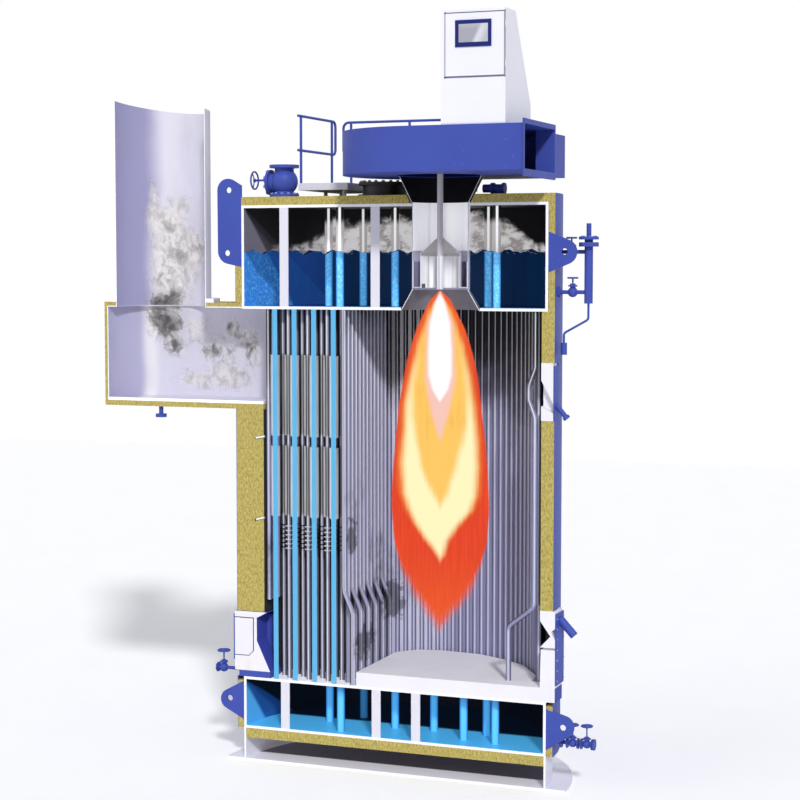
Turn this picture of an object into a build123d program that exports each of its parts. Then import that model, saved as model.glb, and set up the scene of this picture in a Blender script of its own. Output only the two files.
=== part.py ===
from build123d import *
import os
from math import atan2, cos, degrees, hypot, pi, radians, sin, sqrt

os.makedirs("parts", exist_ok=True)

# Oil-fired water-tube boiler, 11 m high, standing as a half section. The cut is
# the plane y = 0 and the rear half (y > 0) is kept. Millimetres, +Z up, origin
# on the ground where the shell axis meets the cut plane.

# Pressure vessel
shell_radius = 2400
shell_plate = 40
lower_drum_height = 792
gas_height = 5595
upper_drum_height = 1546
stay_radius = 60
cut_stay_radius = 70
rear_stays = [
    (-1282, 710), (-868, 171), (-886, 1118), (-190, 679), (422, 724), (1022, 364), (1256, 734), (1535, 298)
]
lower_cut_stays = [-1710, -228, 400]
upper_cut_stays = [-1702, -236]

# Base
base_ledge = 295
base_thickness = 30
skirt_height = 467
skirt_plate = 30
bottom_insulation_height = 147

# Outer casing and its mineral wool
casing_standoff = 107
casing_sheet_thickness = 6
drum_insulation_gap = 5
drum_insulation_foot_gap = 60
drum_insulation_notch = 2000
top_insulation_height = 125
lining_clearance = 84
lining_shift = 25
fit_gap = 0.3

# Gas side tubes
tube_radius = 38
tube_wall = 5
wall_centre_x = 105
wall_inset = 304
wall_pitch = 130
fin_thickness = 8
fin_bite = 4
bent_tube_bend = 150
peephole_bow = 95
bow_slope = 250
bow_head_inset = 330
bow_foot_inset = 290
door_tube_set_x = -465
door_tube_set_y = 240
door_tube_lead = 30
door_tube_slope = 350
side_tube_gap = 20
hung_tube_gap = 190

# Partition between furnace and tube bank
partition_x = -755
partition_pitch = 146
partition_tubes = 12
screen_offset = 140
screen_height = 1411
screen_drop = 330
screen_bend = 200
partition_fin_lift = 150

# Tube bank
bank_first_x = -1858
bank_pitch = 317.5
bank_columns = 4
bank_row_pitch = 158
bank_rows = 8
bank_clearance = 10

# Furnace floor, with its rear corners as degrees round the wall centre and distances inside the tubes
floor_thickness = 150
floor_lift = 55
floor_left_x = -544
floor_left_rear_y = 1612
floor_right_margin = 71
floor_clearance = 5
floor_corners = [(22, 0), (42, 0), (56, 25), (72, 24), (91, 63), (102, 111)]
sill_length = 400

# Burner
burner_x = 775
throat_radius = 432
throat_plate = 10
throat_height = 1263
throat_bottom_lift = 297
flare_radius = 606
funnel_top_radius = 623
funnel_clearance = 30
lance_radius = 44
lance_lift = 10
flame_tube_radius = 309
flame_tube_height = 495
flame_tube_lift = 30
cap_height = 220
register_plate = 14
register_height = 380

# Windbox
windbox_radius = 1400
windbox_length = 1445
windbox_height = 620
windbox_lift = 265
windbox_plate = 10
inlet_length = 250
inlet_flange_thickness = 20
inlet_flange_side = 30
inlet_flange_above = 60
inlet_flange_below = 90
inlet_bolt_radius = 8
inlet_bolt_columns = 5

# Control cabinet
cabinet_left_x = 1290
cabinet_width = 920
cabinet_height = 1535
cabinet_front_y = -1378
cabinet_top_depth = 430
cabinet_foot_depth = 1125
cabinet_knee_height = 317
cabinet_wall = 15
door_left_margin = 63
door_width = 852
door_height = 855
door_foot_lift = 635
door_thickness = 18
door_gap = 5
door_frame_width = 40
hinge_radius = 9
hinge_pin_radius = 4
hinge_clearance = 0.3
hinge_length = 70
hinge_inset = 130
hinge_pin_foot = 12
hinge_leaf = 8
screen_left_margin = 153
screen_top_margin = 102
touch_screen_width = 513
touch_screen_height = 359
touch_screen_thickness = 14

# Flue box and stack
flue_reach = 1500
flue_radius = 800
flue_drop = 1384
flue_clear_height = 1400
flue_plate = 12
flue_floor_plate = 45
flue_insulation = 62
flue_floor_insulation = 80
stack_shift = 120
stack_radius = 775
stack_plate = 10
stack_height = 3060
stack_lean = (0.101, 0.105, 1)
stack_flange_width = 130
stack_flange_height = 60
flue_drain_shift = 66
flue_drain_y = 90
flue_drain_length = 170
flue_drain_radius = 34
flue_drain_flange_radius = 85
flue_drain_flange_height = 50

# Left access door in the casing
left_door_lift = 66
left_door_height = 945
left_door_depth = 400
left_door_reach = 43
left_door_sill = 30
left_door_lintel = 100
left_door_joint = 12
left_door_box_inset = 27
left_door_back_width = 440
left_door_sill_width = 520
left_door_plate = 20

# Right access door in the casing
right_door_height = 1321
right_door_depth = 380
door_reach = 23
door_reveal = 400
door_face_inset = 4
door_cover_thickness = 20
door_port_radius = 60
door_port_y = 200

# Peephole in the casing
peephole_drop = 728
peephole_height = 824
peephole_depth = 190
peephole_y = 100
peephole_setback = 23
peephole_view_depth = 110
sight_tube_radius = 36
sight_collar_radius = 52

# Lifting plates
lug_thickness = 30
lug_hole_radius = 45

# Handwheels and small globe valves, as shares of the wheel's or the body's radius
rim_share = 0.16
hub_share = 2.2
spoke_share = 0.7
spoke_turn = 0.3
wheel_spokes = 3
neck_share = 0.55
neck_height_share = 1.7
bonnet_share = 0.9
bonnet_lift_share = 1.1
bonnet_height_share = 0.3
spindle_share = 0.16
spindle_clearance = 0.3
spindle_end_gap = 0.5

# Main steam valve
steam_valve_x = -1860
steam_valve_y = 370
steam_valve_height = 485
steam_body_radius = 205
steam_body_lift = 235
steam_axis_lift = 262
steam_bonnet_drop = 35
steam_bonnet_radius = 150
steam_bonnet_flange_radius = 190
steam_bonnet_flange_thickness = 40
steam_bonnet_reach = 246
steam_neck_wall = 20
steam_flange_radius = 223
steam_flange_thickness = 45
steam_bolt_radius = 13
steam_bolt_circle_radius = 190
steam_bolt_count = 12
steam_bore_radius = 125
steam_yoke_radius = 34
steam_yoke_reach = 330
steam_spindle_radius = 16
steam_spindle_start = 300
steam_wheel_reach = 495
steam_wheel_radius = 143
steam_wheel_rim = 13

# Blowdown valves
blowdown_y = 140
blowdown_z = 700
blowdown_body_radius = 62
blowdown_pipe_radius = 30
blowdown_flange_radius = 82
blowdown_flange_thickness = 20
blowdown_first_flange = 78
blowdown_valve_reach = [257, 465]
blowdown_end_reach = 584
blowdown_collar_radius = 78
blowdown_collar_start = 70
blowdown_collar_end = 88
blowdown_wheel_lift = 262
blowdown_wheel_radius = 88

# Drain valve
drain_reach = 357
drain_y = 250
drain_lift = 56
drain_body_radius = 70
drain_pipe_radius = 26
drain_pipe_drop = 0
drain_stub_radius = 40
drain_flange_radius = 75
drain_end_reach = 105
drain_wheel_lift = 264
drain_wheel_radius = 102

# Water gauge
gauge_reach = 430
gauge_y = 190
gauge_foot_lift = 115
gauge_column_height = 861
gauge_column_radius = 60
gauge_cap_height = 50
gauge_flange_radius = 140
gauge_vent_radius = 35
gauge_vent_height = 217
gauge_branch_radius = 28
gauge_branch_flange_radius = 75
gauge_branch_flange_thickness = 24
gauge_body_radius = 72
gauge_upper_lift = 842
gauge_lower_lift = 274
gauge_upper_reach = 179
gauge_lower_reach = 199
gauge_upper_wheel_lift = 199
gauge_lower_wheel_lift = 202
gauge_wheel_radius = 80
gauge_drain_radius = 16
gauge_drain_bend = 60
gauge_drain_drops = [111, 308, 454]
gauge_pot_reach = 73
gauge_pot_radius = 45
gauge_pot_height = 170

# Platform
deck_left_x = -1600
deck_front_y = 300
deck_rear_y = 1850
deck_height = 205
deck_beam = 105
deck_plate = 8
deck_side_right_x = -800
walkway_right_x = 700
walkway_front_y = 1420
deck_foot_radius = 30
deck_feet = [
    (-1500, 1100), (-900, 420), (-1500, 1700), (-900, 1700), (-150, 1480), (620, 1480), (-150, 1700),
    (620, 1700)
]
rail_radius = 20
rail_height = 1000
rail_middle_share = 0.49
rail_inset = 30
rail_bend = 90
rail_overhang = 60
rail_corner_gap = 180
rear_rail_left_x = -1510
rear_rail_right_margin = 40
rear_rail_posts = [-1380, -400, 600]

# Manhole
manhole_x = -330
manhole_y = 620
manhole_neck_radius = 330
manhole_neck_height = 165
manhole_cover_radius = 390
manhole_cover_thickness = 45
manhole_pad_radius = 400
manhole_pad_height = 30

# Vent valve
vent_x = 1560
vent_y = 300
vent_lift = 85
vent_riser_radius = 50
vent_pipe_radius = 60
vent_pipe_ends = [-230, 80]
vent_middle_flange = [-110, -60]
vent_end_flange = [60, 100]
vent_middle_flange_radius = 82
vent_end_flange_radius = 80

# Longer than anything that is cut
far = 20000

# Radii and places worked out from the sizes above
base_radius = shell_radius + base_ledge
casing_radius = shell_radius + casing_standoff
casing_inside = casing_radius - casing_sheet_thickness
wool_radius = casing_inside - fit_gap
wall_radius = shell_radius - wall_inset
lining_radius = wall_radius + lining_clearance
lining_centre_x = wall_centre_x + lining_shift
flue_end_x = -shell_radius - flue_reach
stack_x = flue_end_x + stack_shift
door_inner_x = lining_centre_x + lining_radius - door_face_inset
door_outer_x = casing_radius + door_reach
left_door_box_x = -casing_radius + left_door_box_inset

# Levels worked out from the heights above
skirt_top = base_thickness + skirt_height
lower_drum_bottom = skirt_top
tube_foot = lower_drum_bottom + lower_drum_height
tube_head = tube_foot + gas_height
upper_drum_top = tube_head + upper_drum_height
top_level = upper_drum_top + top_insulation_height
floor_top = tube_foot + floor_lift + floor_thickness
flue_floor_z = tube_head - flue_drop
flue_ceiling_z = flue_floor_z + flue_clear_height
left_door_bottom = tube_foot + left_door_lift
left_door_top = left_door_bottom + left_door_height
right_door_top = tube_foot + right_door_height
right_door_bottom = floor_top + fit_gap
peephole_top = tube_head - peephole_drop
peephole_bottom = peephole_top - peephole_height
throat_bottom = tube_head + throat_bottom_lift
throat_top = throat_bottom + throat_height
windbox_bottom = top_level + windbox_lift
windbox_top = windbox_bottom + windbox_height
windbox_right_x = burner_x + windbox_length


def block(left, right, front, rear, bottom, top):
    return Solid.make_box(right - left, rear - front, top - bottom, Plane((left, front, bottom)))


def post(x, y, bottom, top, radius):
    return Solid.make_cylinder(radius, top - bottom, Plane((x, y, bottom)))


def rod(start, end, radius):
    along = Vector(*end) - Vector(*start)
    return Solid.make_cylinder(radius, along.length, Plane(origin=start, z_dir=along))


def ball(x, y, z, radius):
    return Pos(x, y, z) * Solid.make_sphere(radius, angle1=-90, angle2=90)


def half_disc(radius, bottom, top, x=0):
    return Solid.make_cylinder(radius, top - bottom, Plane((x, 0, bottom)), 180)


def half_ring(outer, inner, bottom, top, x=0):
    return half_disc(outer, bottom, top, x) - half_disc(inner, bottom, top, x)


def half_cone(bottom_radius, top_radius, bottom, top, x):
    return Solid.make_cone(bottom_radius, top_radius, top - bottom, Plane((x, 0, bottom)), 180)


def half_cone_shell(bottom_radius, top_radius, bottom, top, plate, x):
    outer = half_cone(bottom_radius, top_radius, bottom, top, x)
    return outer - half_cone(bottom_radius - plate, top_radius - plate, bottom, top, x)


def upright(sketch, depth):
    return extrude(Plane.XZ * sketch, -depth)


def profile(*points):
    return make_face(Polyline(*points, close=True))


def bent_tube(radius, bends, *points):
    path = FilletPolyline(*points, radius=bends)
    return sweep(Plane(origin=path @ 0, z_dir=path % 0) * Circle(radius), path=path)


def save(name, *solids):
    pieces = [piece for solid in solids for piece in solid.solids()]
    export_step(pieces[0] if len(pieces) == 1 else Compound(children=pieces), f"parts/{name}.step")


# Outline of the flue box in plan: straight back wall and a round outer end
def flue_plan(offset, right):
    end = Pos(flue_end_x, 0) * Circle(flue_radius + offset)
    run = Pos((flue_end_x + right) / 2, 0) * Rectangle(right - flue_end_x, 2 * (flue_radius + offset))
    return (end + run) & (Pos(0, flue_radius) * Rectangle(far, 2 * flue_radius))


def flue_body(offset, bottom, top, right=0):
    return extrude(Pos(0, 0, bottom) * flue_plan(offset, right), top - bottom)


def clears_throat(x, y):
    return hypot(x - burner_x, y) > flare_radius + stay_radius


# Where the casing's outer face lies at a distance behind the cut
def casing_face(y):
    return sqrt(casing_radius**2 - y**2) + fit_gap


def make_base():
    save("base_plate", half_disc(base_radius, 0, base_thickness))
    save("base_skirt", half_ring(shell_radius, shell_radius - skirt_plate, base_thickness, skirt_top))


def make_lower_drum():
    inside_bottom = lower_drum_bottom + shell_plate
    inside_top = tube_foot - shell_plate
    save("lower_drum_bottom_plate", half_disc(shell_radius, lower_drum_bottom, inside_bottom))
    save("lower_drum_shell", half_ring(shell_radius, shell_radius - shell_plate, inside_bottom, inside_top))
    save("lower_tube_plate", half_disc(shell_radius, inside_top, tube_foot))
    cut = [half_disc(cut_stay_radius, inside_bottom, inside_top, x) for x in lower_cut_stays]
    full = [post(x, y, inside_bottom, inside_top, stay_radius) for x, y in rear_stays]
    save("lower_drum_stays", *cut, *full)


def make_upper_drum():
    inside_bottom = tube_head + shell_plate
    inside_top = upper_drum_top - shell_plate
    flare_hole = half_disc(flare_radius + fit_gap, tube_head, inside_bottom, burner_x)
    save("upper_tube_plate", half_disc(shell_radius, tube_head, inside_bottom) - flare_hole)
    save("upper_drum_shell", half_ring(shell_radius, shell_radius - shell_plate, inside_bottom, inside_top))
    throat_hole = half_disc(throat_radius + fit_gap, inside_top, upper_drum_top, burner_x)
    save("upper_drum_top_plate", half_disc(shell_radius, inside_top, upper_drum_top) - throat_hole)
    cut = [half_disc(cut_stay_radius, inside_bottom, inside_top, x) for x in upper_cut_stays]
    full = [post(x, y, inside_bottom, inside_top, stay_radius) for x, y in rear_stays if clears_throat(x, y)]
    save("upper_drum_stays", *cut, *full)


# Openings of the casing, cut through the sheet and the wool behind it
def casing_openings():
    flue = flue_body(
        flue_insulation + fit_gap, flue_floor_z - flue_floor_plate - flue_floor_insulation - fit_gap,
        flue_ceiling_z + flue_plate + flue_insulation + fit_gap, partition_x
    )
    reveal_x = wall_centre_x + lining_radius - door_reveal
    left_door = block(-far, partition_x, -1, left_door_depth, tube_foot, left_door_top)
    right_door = block(reveal_x, far, -1, right_door_depth, tube_foot, right_door_top)
    peephole = block(reveal_x, far, -1, peephole_depth, peephole_bottom, peephole_top)
    return [flue, left_door, right_door, peephole]


def make_insulation():
    wool = half_disc(wool_radius, tube_foot, tube_head)
    wool = wool - half_disc(lining_radius, tube_foot, tube_head, lining_centre_x)
    for opening in casing_openings():
        wool = wool - opening
    save("gas_side_insulation", wool)

    drum_inner = shell_radius + drum_insulation_gap
    side = half_ring(wool_radius, drum_inner, skirt_top, tube_foot - drum_insulation_foot_gap)
    under_radius = shell_radius - skirt_plate - fit_gap
    under = half_disc(under_radius, skirt_top - bottom_insulation_height, skirt_top)
    save("lower_drum_insulation", without_plates(side), under)

    flue_top = flue_ceiling_z + flue_plate + flue_insulation + 2 * fit_gap
    side = half_ring(wool_radius, drum_inner, tube_head, upper_drum_top)
    side = side - block(-far, 0, -1, drum_insulation_notch, flue_floor_z, flue_top)
    flare_rate = (funnel_top_radius - throat_radius) / (windbox_bottom - upper_drum_top)
    hole = throat_radius + funnel_clearance
    funnel_room = half_cone(
        hole, hole + flare_rate * top_insulation_height, upper_drum_top, top_level, burner_x
    )
    lid = half_disc(wool_radius, upper_drum_top, top_level) - funnel_room
    save("upper_drum_insulation", without_plates(side + lid))


def make_casing():
    sheet = half_ring(casing_radius, casing_inside, skirt_top, top_level)
    for opening in casing_openings():
        sheet = sheet - opening
    save("casing_sheet", *without_plates(sheet).solids())


# Tube wall in plan: tubes on the arc, joined by fins
def make_furnace_wall():
    count = round(pi * wall_radius / wall_pitch)
    step = pi / count
    spots = [
        (wall_centre_x + wall_radius * cos(step * (i + 0.5)), wall_radius * sin(step * (i + 0.5)))
        for i in range(count)
    ]
    door_tubes = [spot for spot in spots if spot[0] > 0 and spot[1] < right_door_depth]
    flue_tubes = [spot for spot in spots if spot[0] < 0 and spot[1] < flue_radius]
    wall_spots = [spot for spot in spots if spot not in door_tubes and spot not in flue_tubes]
    plan = Sketch() + [Pos(x, y) * Circle(tube_radius) for x, y in wall_spots]
    fins = []
    for (x0, y0), (x1, y1) in zip(wall_spots, wall_spots[1:]):
        turn = degrees(atan2(y1 - y0, x1 - x0))
        length = hypot(x1 - x0, y1 - y0) - 2 * tube_radius + 2 * fin_bite
        fins.append(Pos((x0 + x1) / 2, (y0 + y1) / 2) * Rot(0, 0, turn) * Rectangle(length, fin_thickness))
    save("furnace_wall_tubes", extrude(Pos(0, 0, tube_foot) * (plan + fins), gas_height))

    # Left casing tubes end above the access door, in front of the flue opening
    hung = [post(x, y, left_door_top + hung_tube_gap, tube_head, tube_radius) for x, y in flue_tubes]

    # The first right wall tube steps inward past the peephole and round the lower door
    x, y = door_tubes[0]
    bow_x = x - peephole_bow
    bow_top = peephole_top - bow_head_inset
    bow_foot = peephole_bottom + bow_foot_inset
    door_tube = (x + door_tube_set_x, y + door_tube_set_y)
    slope_top = right_door_top + door_tube_lead
    bent = bent_tube(
        tube_radius, bent_tube_bend,
        (x, y, tube_head), (x, y, bow_top + bow_slope), (bow_x, y, bow_top), (bow_x, y, bow_foot),
        (x, y, bow_foot - bow_slope), (x, y, slope_top), (*door_tube, slope_top - door_tube_slope),
        (*door_tube, floor_top)
    )
    others = [post(x, y, right_door_top + side_tube_gap, tube_head, tube_radius) for x, y in door_tubes[2:]]
    save("casing_side_tubes", bent, *others, *hung)


def make_partition():
    spots = [tube_radius + fit_gap + partition_pitch * i for i in range(partition_tubes)]
    straight = [post(partition_x, y, tube_foot, tube_head, tube_radius) for y in spots[1::2]]
    screen_top = tube_foot + screen_height
    screen_x = partition_x + screen_offset
    screens = [
        bent_tube(
            tube_radius, screen_bend, (partition_x, y, tube_head), (partition_x, y, screen_top),
            (screen_x, y, screen_top - screen_drop), (screen_x, y, tube_foot)
        )
        for y in spots[0::2]
    ]
    fins = [
        block(
            partition_x - fin_thickness / 2, partition_x + fin_thickness / 2, y + tube_radius - fin_bite,
            y + partition_pitch - tube_radius + fin_bite, screen_top + partition_fin_lift, tube_head
        )
        for y in spots[:-1]
    ]
    wall = straight[0]
    for piece in straight[1:] + screens + fins:
        wall = wall + piece
    save("furnace_partition", wall)


def bank_spots(first_row, last_row):
    spots = []
    for row in range(first_row, last_row):
        shift = bank_pitch / 2 if row % 2 else 0
        columns = bank_columns - 1 if row % 2 else bank_columns
        spots += [(bank_first_x + shift + bank_pitch * i, bank_row_pitch * row) for i in range(columns)]
    return spots


def make_convection_bank():
    reach = wall_radius - 2 * tube_radius - bank_clearance
    rows = [(x, y) for x, y in bank_spots(1, bank_rows) if hypot(x - wall_centre_x, y) < reach]
    save("convection_tubes", *[post(x, y, tube_foot, tube_head, tube_radius) for x, y in rows])
    bore = tube_radius - tube_wall
    cut = [half_ring(tube_radius, bore, tube_foot, tube_head, x) for x, y in bank_spots(0, 1)]
    save("section_tubes", *cut)


def make_furnace_floor():
    reach = wall_radius - tube_radius - floor_clearance
    right = wall_centre_x + wall_radius - floor_right_margin
    corners = [
        (wall_centre_x + (reach - inset) * cos(radians(turn)), (reach - inset) * sin(radians(turn)))
        for turn, inset in floor_corners
    ]
    outline = profile((floor_left_x, 0), (right, 0), *corners, (floor_left_x, floor_left_rear_y))
    slab = extrude(Pos(0, 0, tube_foot) * outline, floor_top - tube_foot)
    slab = slab & half_disc(reach, tube_foot, floor_top, wall_centre_x)
    sill_rear = right_door_depth - door_cover_thickness
    save("furnace_floor", slab + block(right - sill_length, door_outer_x, 0, sill_rear, tube_foot, floor_top))


def make_burner():
    throat_inner = throat_radius - throat_plate
    save("burner_throat", half_ring(throat_radius, throat_inner, throat_bottom, throat_top, burner_x))
    flare = half_cone_shell(flare_radius, throat_radius, tube_head, throat_bottom, throat_plate, burner_x)
    save("burner_flare", flare)
    funnel = half_cone_shell(
        throat_radius + throat_plate, funnel_top_radius + throat_plate, throat_top, windbox_bottom,
        throat_plate, burner_x
    )
    save("burner_funnel", funnel)
    lance_foot = throat_bottom + lance_lift
    save("burner_lance", post(burner_x, 0, lance_foot, windbox_top - windbox_plate, lance_radius))
    tube_bottom = throat_bottom + flame_tube_lift
    tube_top = tube_bottom + flame_tube_height
    tube = half_ring(flame_tube_radius, flame_tube_radius - throat_plate, tube_bottom, tube_top, burner_x)
    cap = half_cone_shell(
        flame_tube_radius, lance_radius + throat_plate + fit_gap, tube_top, tube_top + cap_height,
        throat_plate, burner_x
    )
    save("flame_tube", tube + cap)
    outer = throat_inner - fit_gap
    ring = half_ring(outer, outer - register_plate, tube_bottom, tube_bottom + register_height, burner_x)
    foot = half_ring(outer, flame_tube_radius + fit_gap, tube_bottom, tube_bottom + register_plate, burner_x)
    save("air_register", ring + foot)


# The windbox in plan: a round end about the burner and a straight run to the inlet
def windbox_plan(inset):
    radius = windbox_radius - inset
    length = windbox_length - inset
    run = Pos(burner_x + length / 2, 0) * Rectangle(length, 2 * radius)
    return Pos(burner_x, 0) * Circle(radius) + run


def make_windbox():
    plate = windbox_plate
    duct_right = windbox_right_x + inlet_length
    body = extrude(Pos(0, 0, windbox_bottom) * windbox_plan(0), windbox_height)
    duct = block(windbox_right_x - 1, duct_right, -windbox_radius, 0, windbox_bottom, windbox_top)
    inside = extrude(Pos(0, 0, windbox_bottom + plate) * windbox_plan(plate), windbox_height - 2 * plate)
    mouth = block(
        windbox_right_x - 2 * plate, duct_right + inlet_flange_thickness, plate - windbox_radius, -plate,
        windbox_bottom + plate, windbox_top - plate
    )
    outlet = post(burner_x, 0, windbox_bottom, windbox_bottom + plate, funnel_top_radius)
    save("windbox", (body + duct) - inside - mouth - outlet)

    front = -windbox_radius - inlet_flange_side
    bottom = windbox_bottom - inlet_flange_below
    top = windbox_top + inlet_flange_above
    frame_right = duct_right + inlet_flange_thickness
    frame = block(duct_right, frame_right, front, inlet_flange_side, bottom, top) - mouth
    bolt_front = front + inlet_flange_side / 2
    bolt_pitch = (windbox_radius + inlet_flange_side) / (inlet_bolt_columns - 1)
    for z in (bottom + inlet_flange_below / 2, top - inlet_flange_above / 2):
        for i in range(inlet_bolt_columns):
            y = bolt_front + bolt_pitch * i
            frame = frame - rod((duct_right, y, z), (frame_right, y, z), inlet_bolt_radius)
    save("windbox_inlet_flange", frame)


# The cabinet leans back behind: its side view, made smaller by an inset for the hollow inside
def cabinet_body(inset):
    front = cabinet_front_y + inset
    foot = windbox_top + inset
    top = windbox_top + cabinet_height - inset
    rear = cabinet_front_y + cabinet_foot_depth - inset
    side = Plane.YZ.offset(cabinet_left_x + inset) * profile(
        (front, foot), (front, top), (cabinet_front_y + cabinet_top_depth - inset, top),
        (rear, windbox_top + cabinet_knee_height), (rear, foot)
    )
    return extrude(side, cabinet_width - 2 * inset)


def make_cabinet():
    front = cabinet_front_y
    door_left = cabinet_left_x + door_left_margin
    door_right = door_left + door_width
    door_bottom = windbox_top + door_foot_lift
    door_top = door_bottom + door_height
    door_back = front - door_gap
    door_front = door_back - door_thickness
    pin_x = door_right + hinge_radius + 1
    pin_y = front - door_gap - door_thickness / 2
    hinge_feet = (door_bottom + hinge_inset, door_top - hinge_inset - hinge_length)
    opening = block(
        door_left + door_frame_width, door_right - door_frame_width, front - 1, front + cabinet_wall + 1,
        door_bottom + door_frame_width, door_top - door_frame_width
    )
    shell = cabinet_body(0) - cabinet_body(cabinet_wall) - opening
    door = block(door_left, door_right, door_front, door_back, door_bottom, door_top)
    for z in hinge_feet:
        pin = post(pin_x, pin_y, z - hinge_pin_foot, z + hinge_length, hinge_pin_radius)
        foot_bottom = z - 2 * hinge_radius - door_gap
        foot = block(pin_x - hinge_radius, pin_x + hinge_radius, door_front, front, foot_bottom, z - door_gap)
        shell = shell + foot + pin
        knuckle = post(pin_x, pin_y, z, z + hinge_length, hinge_radius)
        leaf_front = pin_y - hinge_leaf / 2
        leaf = block(door_right - 1, pin_x, leaf_front, leaf_front + hinge_leaf, z, z + hinge_length)
        pin_hole = post(pin_x, pin_y, z, z + hinge_length, hinge_pin_radius + hinge_clearance)
        foot_room = block(door_right - door_gap, door_right, door_front, front, foot_bottom - door_gap, z)
        door = (door + leaf + knuckle) - pin_hole - foot_room
    save("control_cabinet", shell)
    save("cabinet_door", door)
    screen_left = door_left + screen_left_margin
    screen_top = door_top - screen_top_margin
    save("touch_screen", block(
        screen_left, screen_left + touch_screen_width, door_front - touch_screen_thickness, door_front,
        screen_top - touch_screen_height, screen_top
    ))


def make_flue():
    box_floor = flue_floor_z - flue_floor_plate
    box_top = flue_ceiling_z + flue_plate
    wool_floor = box_floor - flue_floor_insulation
    wool_top = box_top + flue_insulation
    stack_top = box_top + stack_height
    lining = half_disc(lining_radius, wool_floor - 1, wool_top + 1, lining_centre_x)
    drum = half_disc(shell_radius + fit_gap, tube_head - fit_gap, far)
    stack_hole = half_disc(stack_radius - stack_plate, flue_ceiling_z, wool_top, stack_x)
    box = flue_body(flue_plate, box_floor, box_top) - flue_body(0, flue_floor_z, flue_ceiling_z)
    box = box - lining - stack_hole - drum
    save("flue_box", *box.solids())
    wool = flue_body(flue_insulation, wool_floor, wool_top)
    wool = wool - flue_body(flue_plate + fit_gap, box_floor, box_top) - lining - drum
    wool = wool - half_disc(stack_radius + fit_gap, box_top, wool_top, stack_x)
    save("flue_box_insulation", *wool.solids())

    # The stack's cut end leans to the left and towards the cut
    pipe = half_ring(stack_radius, stack_radius - stack_plate, box_top, stack_top + stack_radius, stack_x)
    above = Plane(origin=(stack_x, 0, stack_top), z_dir=stack_lean) * Pos(0, 0, far / 2) * Box(far, far, far)
    save("stack", pipe - above)
    flange_outer = stack_radius + stack_flange_width
    flange_head = wool_top + stack_flange_height
    save("stack_flange", half_ring(flange_outer, stack_radius + fit_gap, wool_top, flange_head, stack_x))
    drain_x = flue_end_x + flue_drain_shift
    drain_foot = wool_floor - flue_drain_length
    drain = post(drain_x, flue_drain_y, drain_foot, wool_floor, flue_drain_radius)
    flange_top = drain_foot + flue_drain_flange_height
    save("flue_drain", drain + post(drain_x, flue_drain_y, drain_foot, flange_top, flue_drain_flange_radius))


# A lifting plate: its outline hugs the round tips and ends on the drum between two levels. Tips are
# (reach past the casing, level, radius), holes (reach, level), and side is 1 on the right, -1 on the left
def lug(side, root_bottom, root_top, tips, holes):
    wall = shell_radius + fit_gap
    edges = [Line((side * wall, root_bottom), (side * wall, root_top)).edge()]
    for reach, level, radius in tips:
        edges.append((Pos(side * (casing_radius + reach), level) * Circle(radius)).edge())
    plate = upright(make_hull(edges), lug_thickness)
    for reach, level in holes:
        hole = Pos(side * (casing_radius + reach), level) * Circle(lug_hole_radius)
        plate = plate - upright(hole, lug_thickness)
    return plate - block(-wall, wall, -1, lug_thickness + 1, 0, far)


def lifting_plates():
    high, low = upper_drum_top, tube_foot
    return [
        lug(
            -1, high - 921, high + 300, [(118, high + 228, 175), (93, high - 680, 195)],
            [(103, high + 231), (133, high - 710)]
        ),
        lug(1, high - 996, high - 415, [(129, high - 703, 180)], [(129, high - 699)]),
        lug(1, low - 703, low - 99, [(148, low - 339, 165)], [(148, low - 351)]),
        lug(-1, low - 668, low - 68, [(133, low - 374, 155)], [(133, low - 357)])
    ]


def without_plates(solid):
    for plate in lifting_plates():
        solid = solid - plate
    return solid


def make_lugs():
    save("lifting_lugs", *lifting_plates())


def handwheel(radius, rim):
    wheel = Solid.make_torus(radius - rim, rim) + post(0, 0, -rim, rim, hub_share * rim)
    for i in range(wheel_spokes):
        turn = 2 * pi * (i + spoke_turn) / wheel_spokes
        end = ((radius - rim) * cos(turn), (radius - rim) * sin(turn), 0)
        wheel = wheel + rod((0, 0, 0), end, spoke_share * rim)
    return wheel


# A small globe valve with a vertical spindle; its handwheel turns about Z
def globe_valve(x, y, z, size):
    body = ball(x, y, z, size) + post(x, y, z, z + neck_height_share * size, neck_share * size)
    bonnet_z = z + bonnet_lift_share * size
    body = body + post(x, y, bonnet_z, bonnet_z + bonnet_height_share * size, bonnet_share * size)
    return body - post(x, y, z + size, z + 2 * size, spindle_share * size + spindle_clearance)


def spindle_wheel(x, y, z, size, wheel_z, wheel_radius):
    wheel = Pos(x, y, wheel_z) * handwheel(wheel_radius, rim_share * wheel_radius)
    return wheel + post(x, y, z + size + spindle_end_gap, wheel_z, spindle_share * size)


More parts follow.
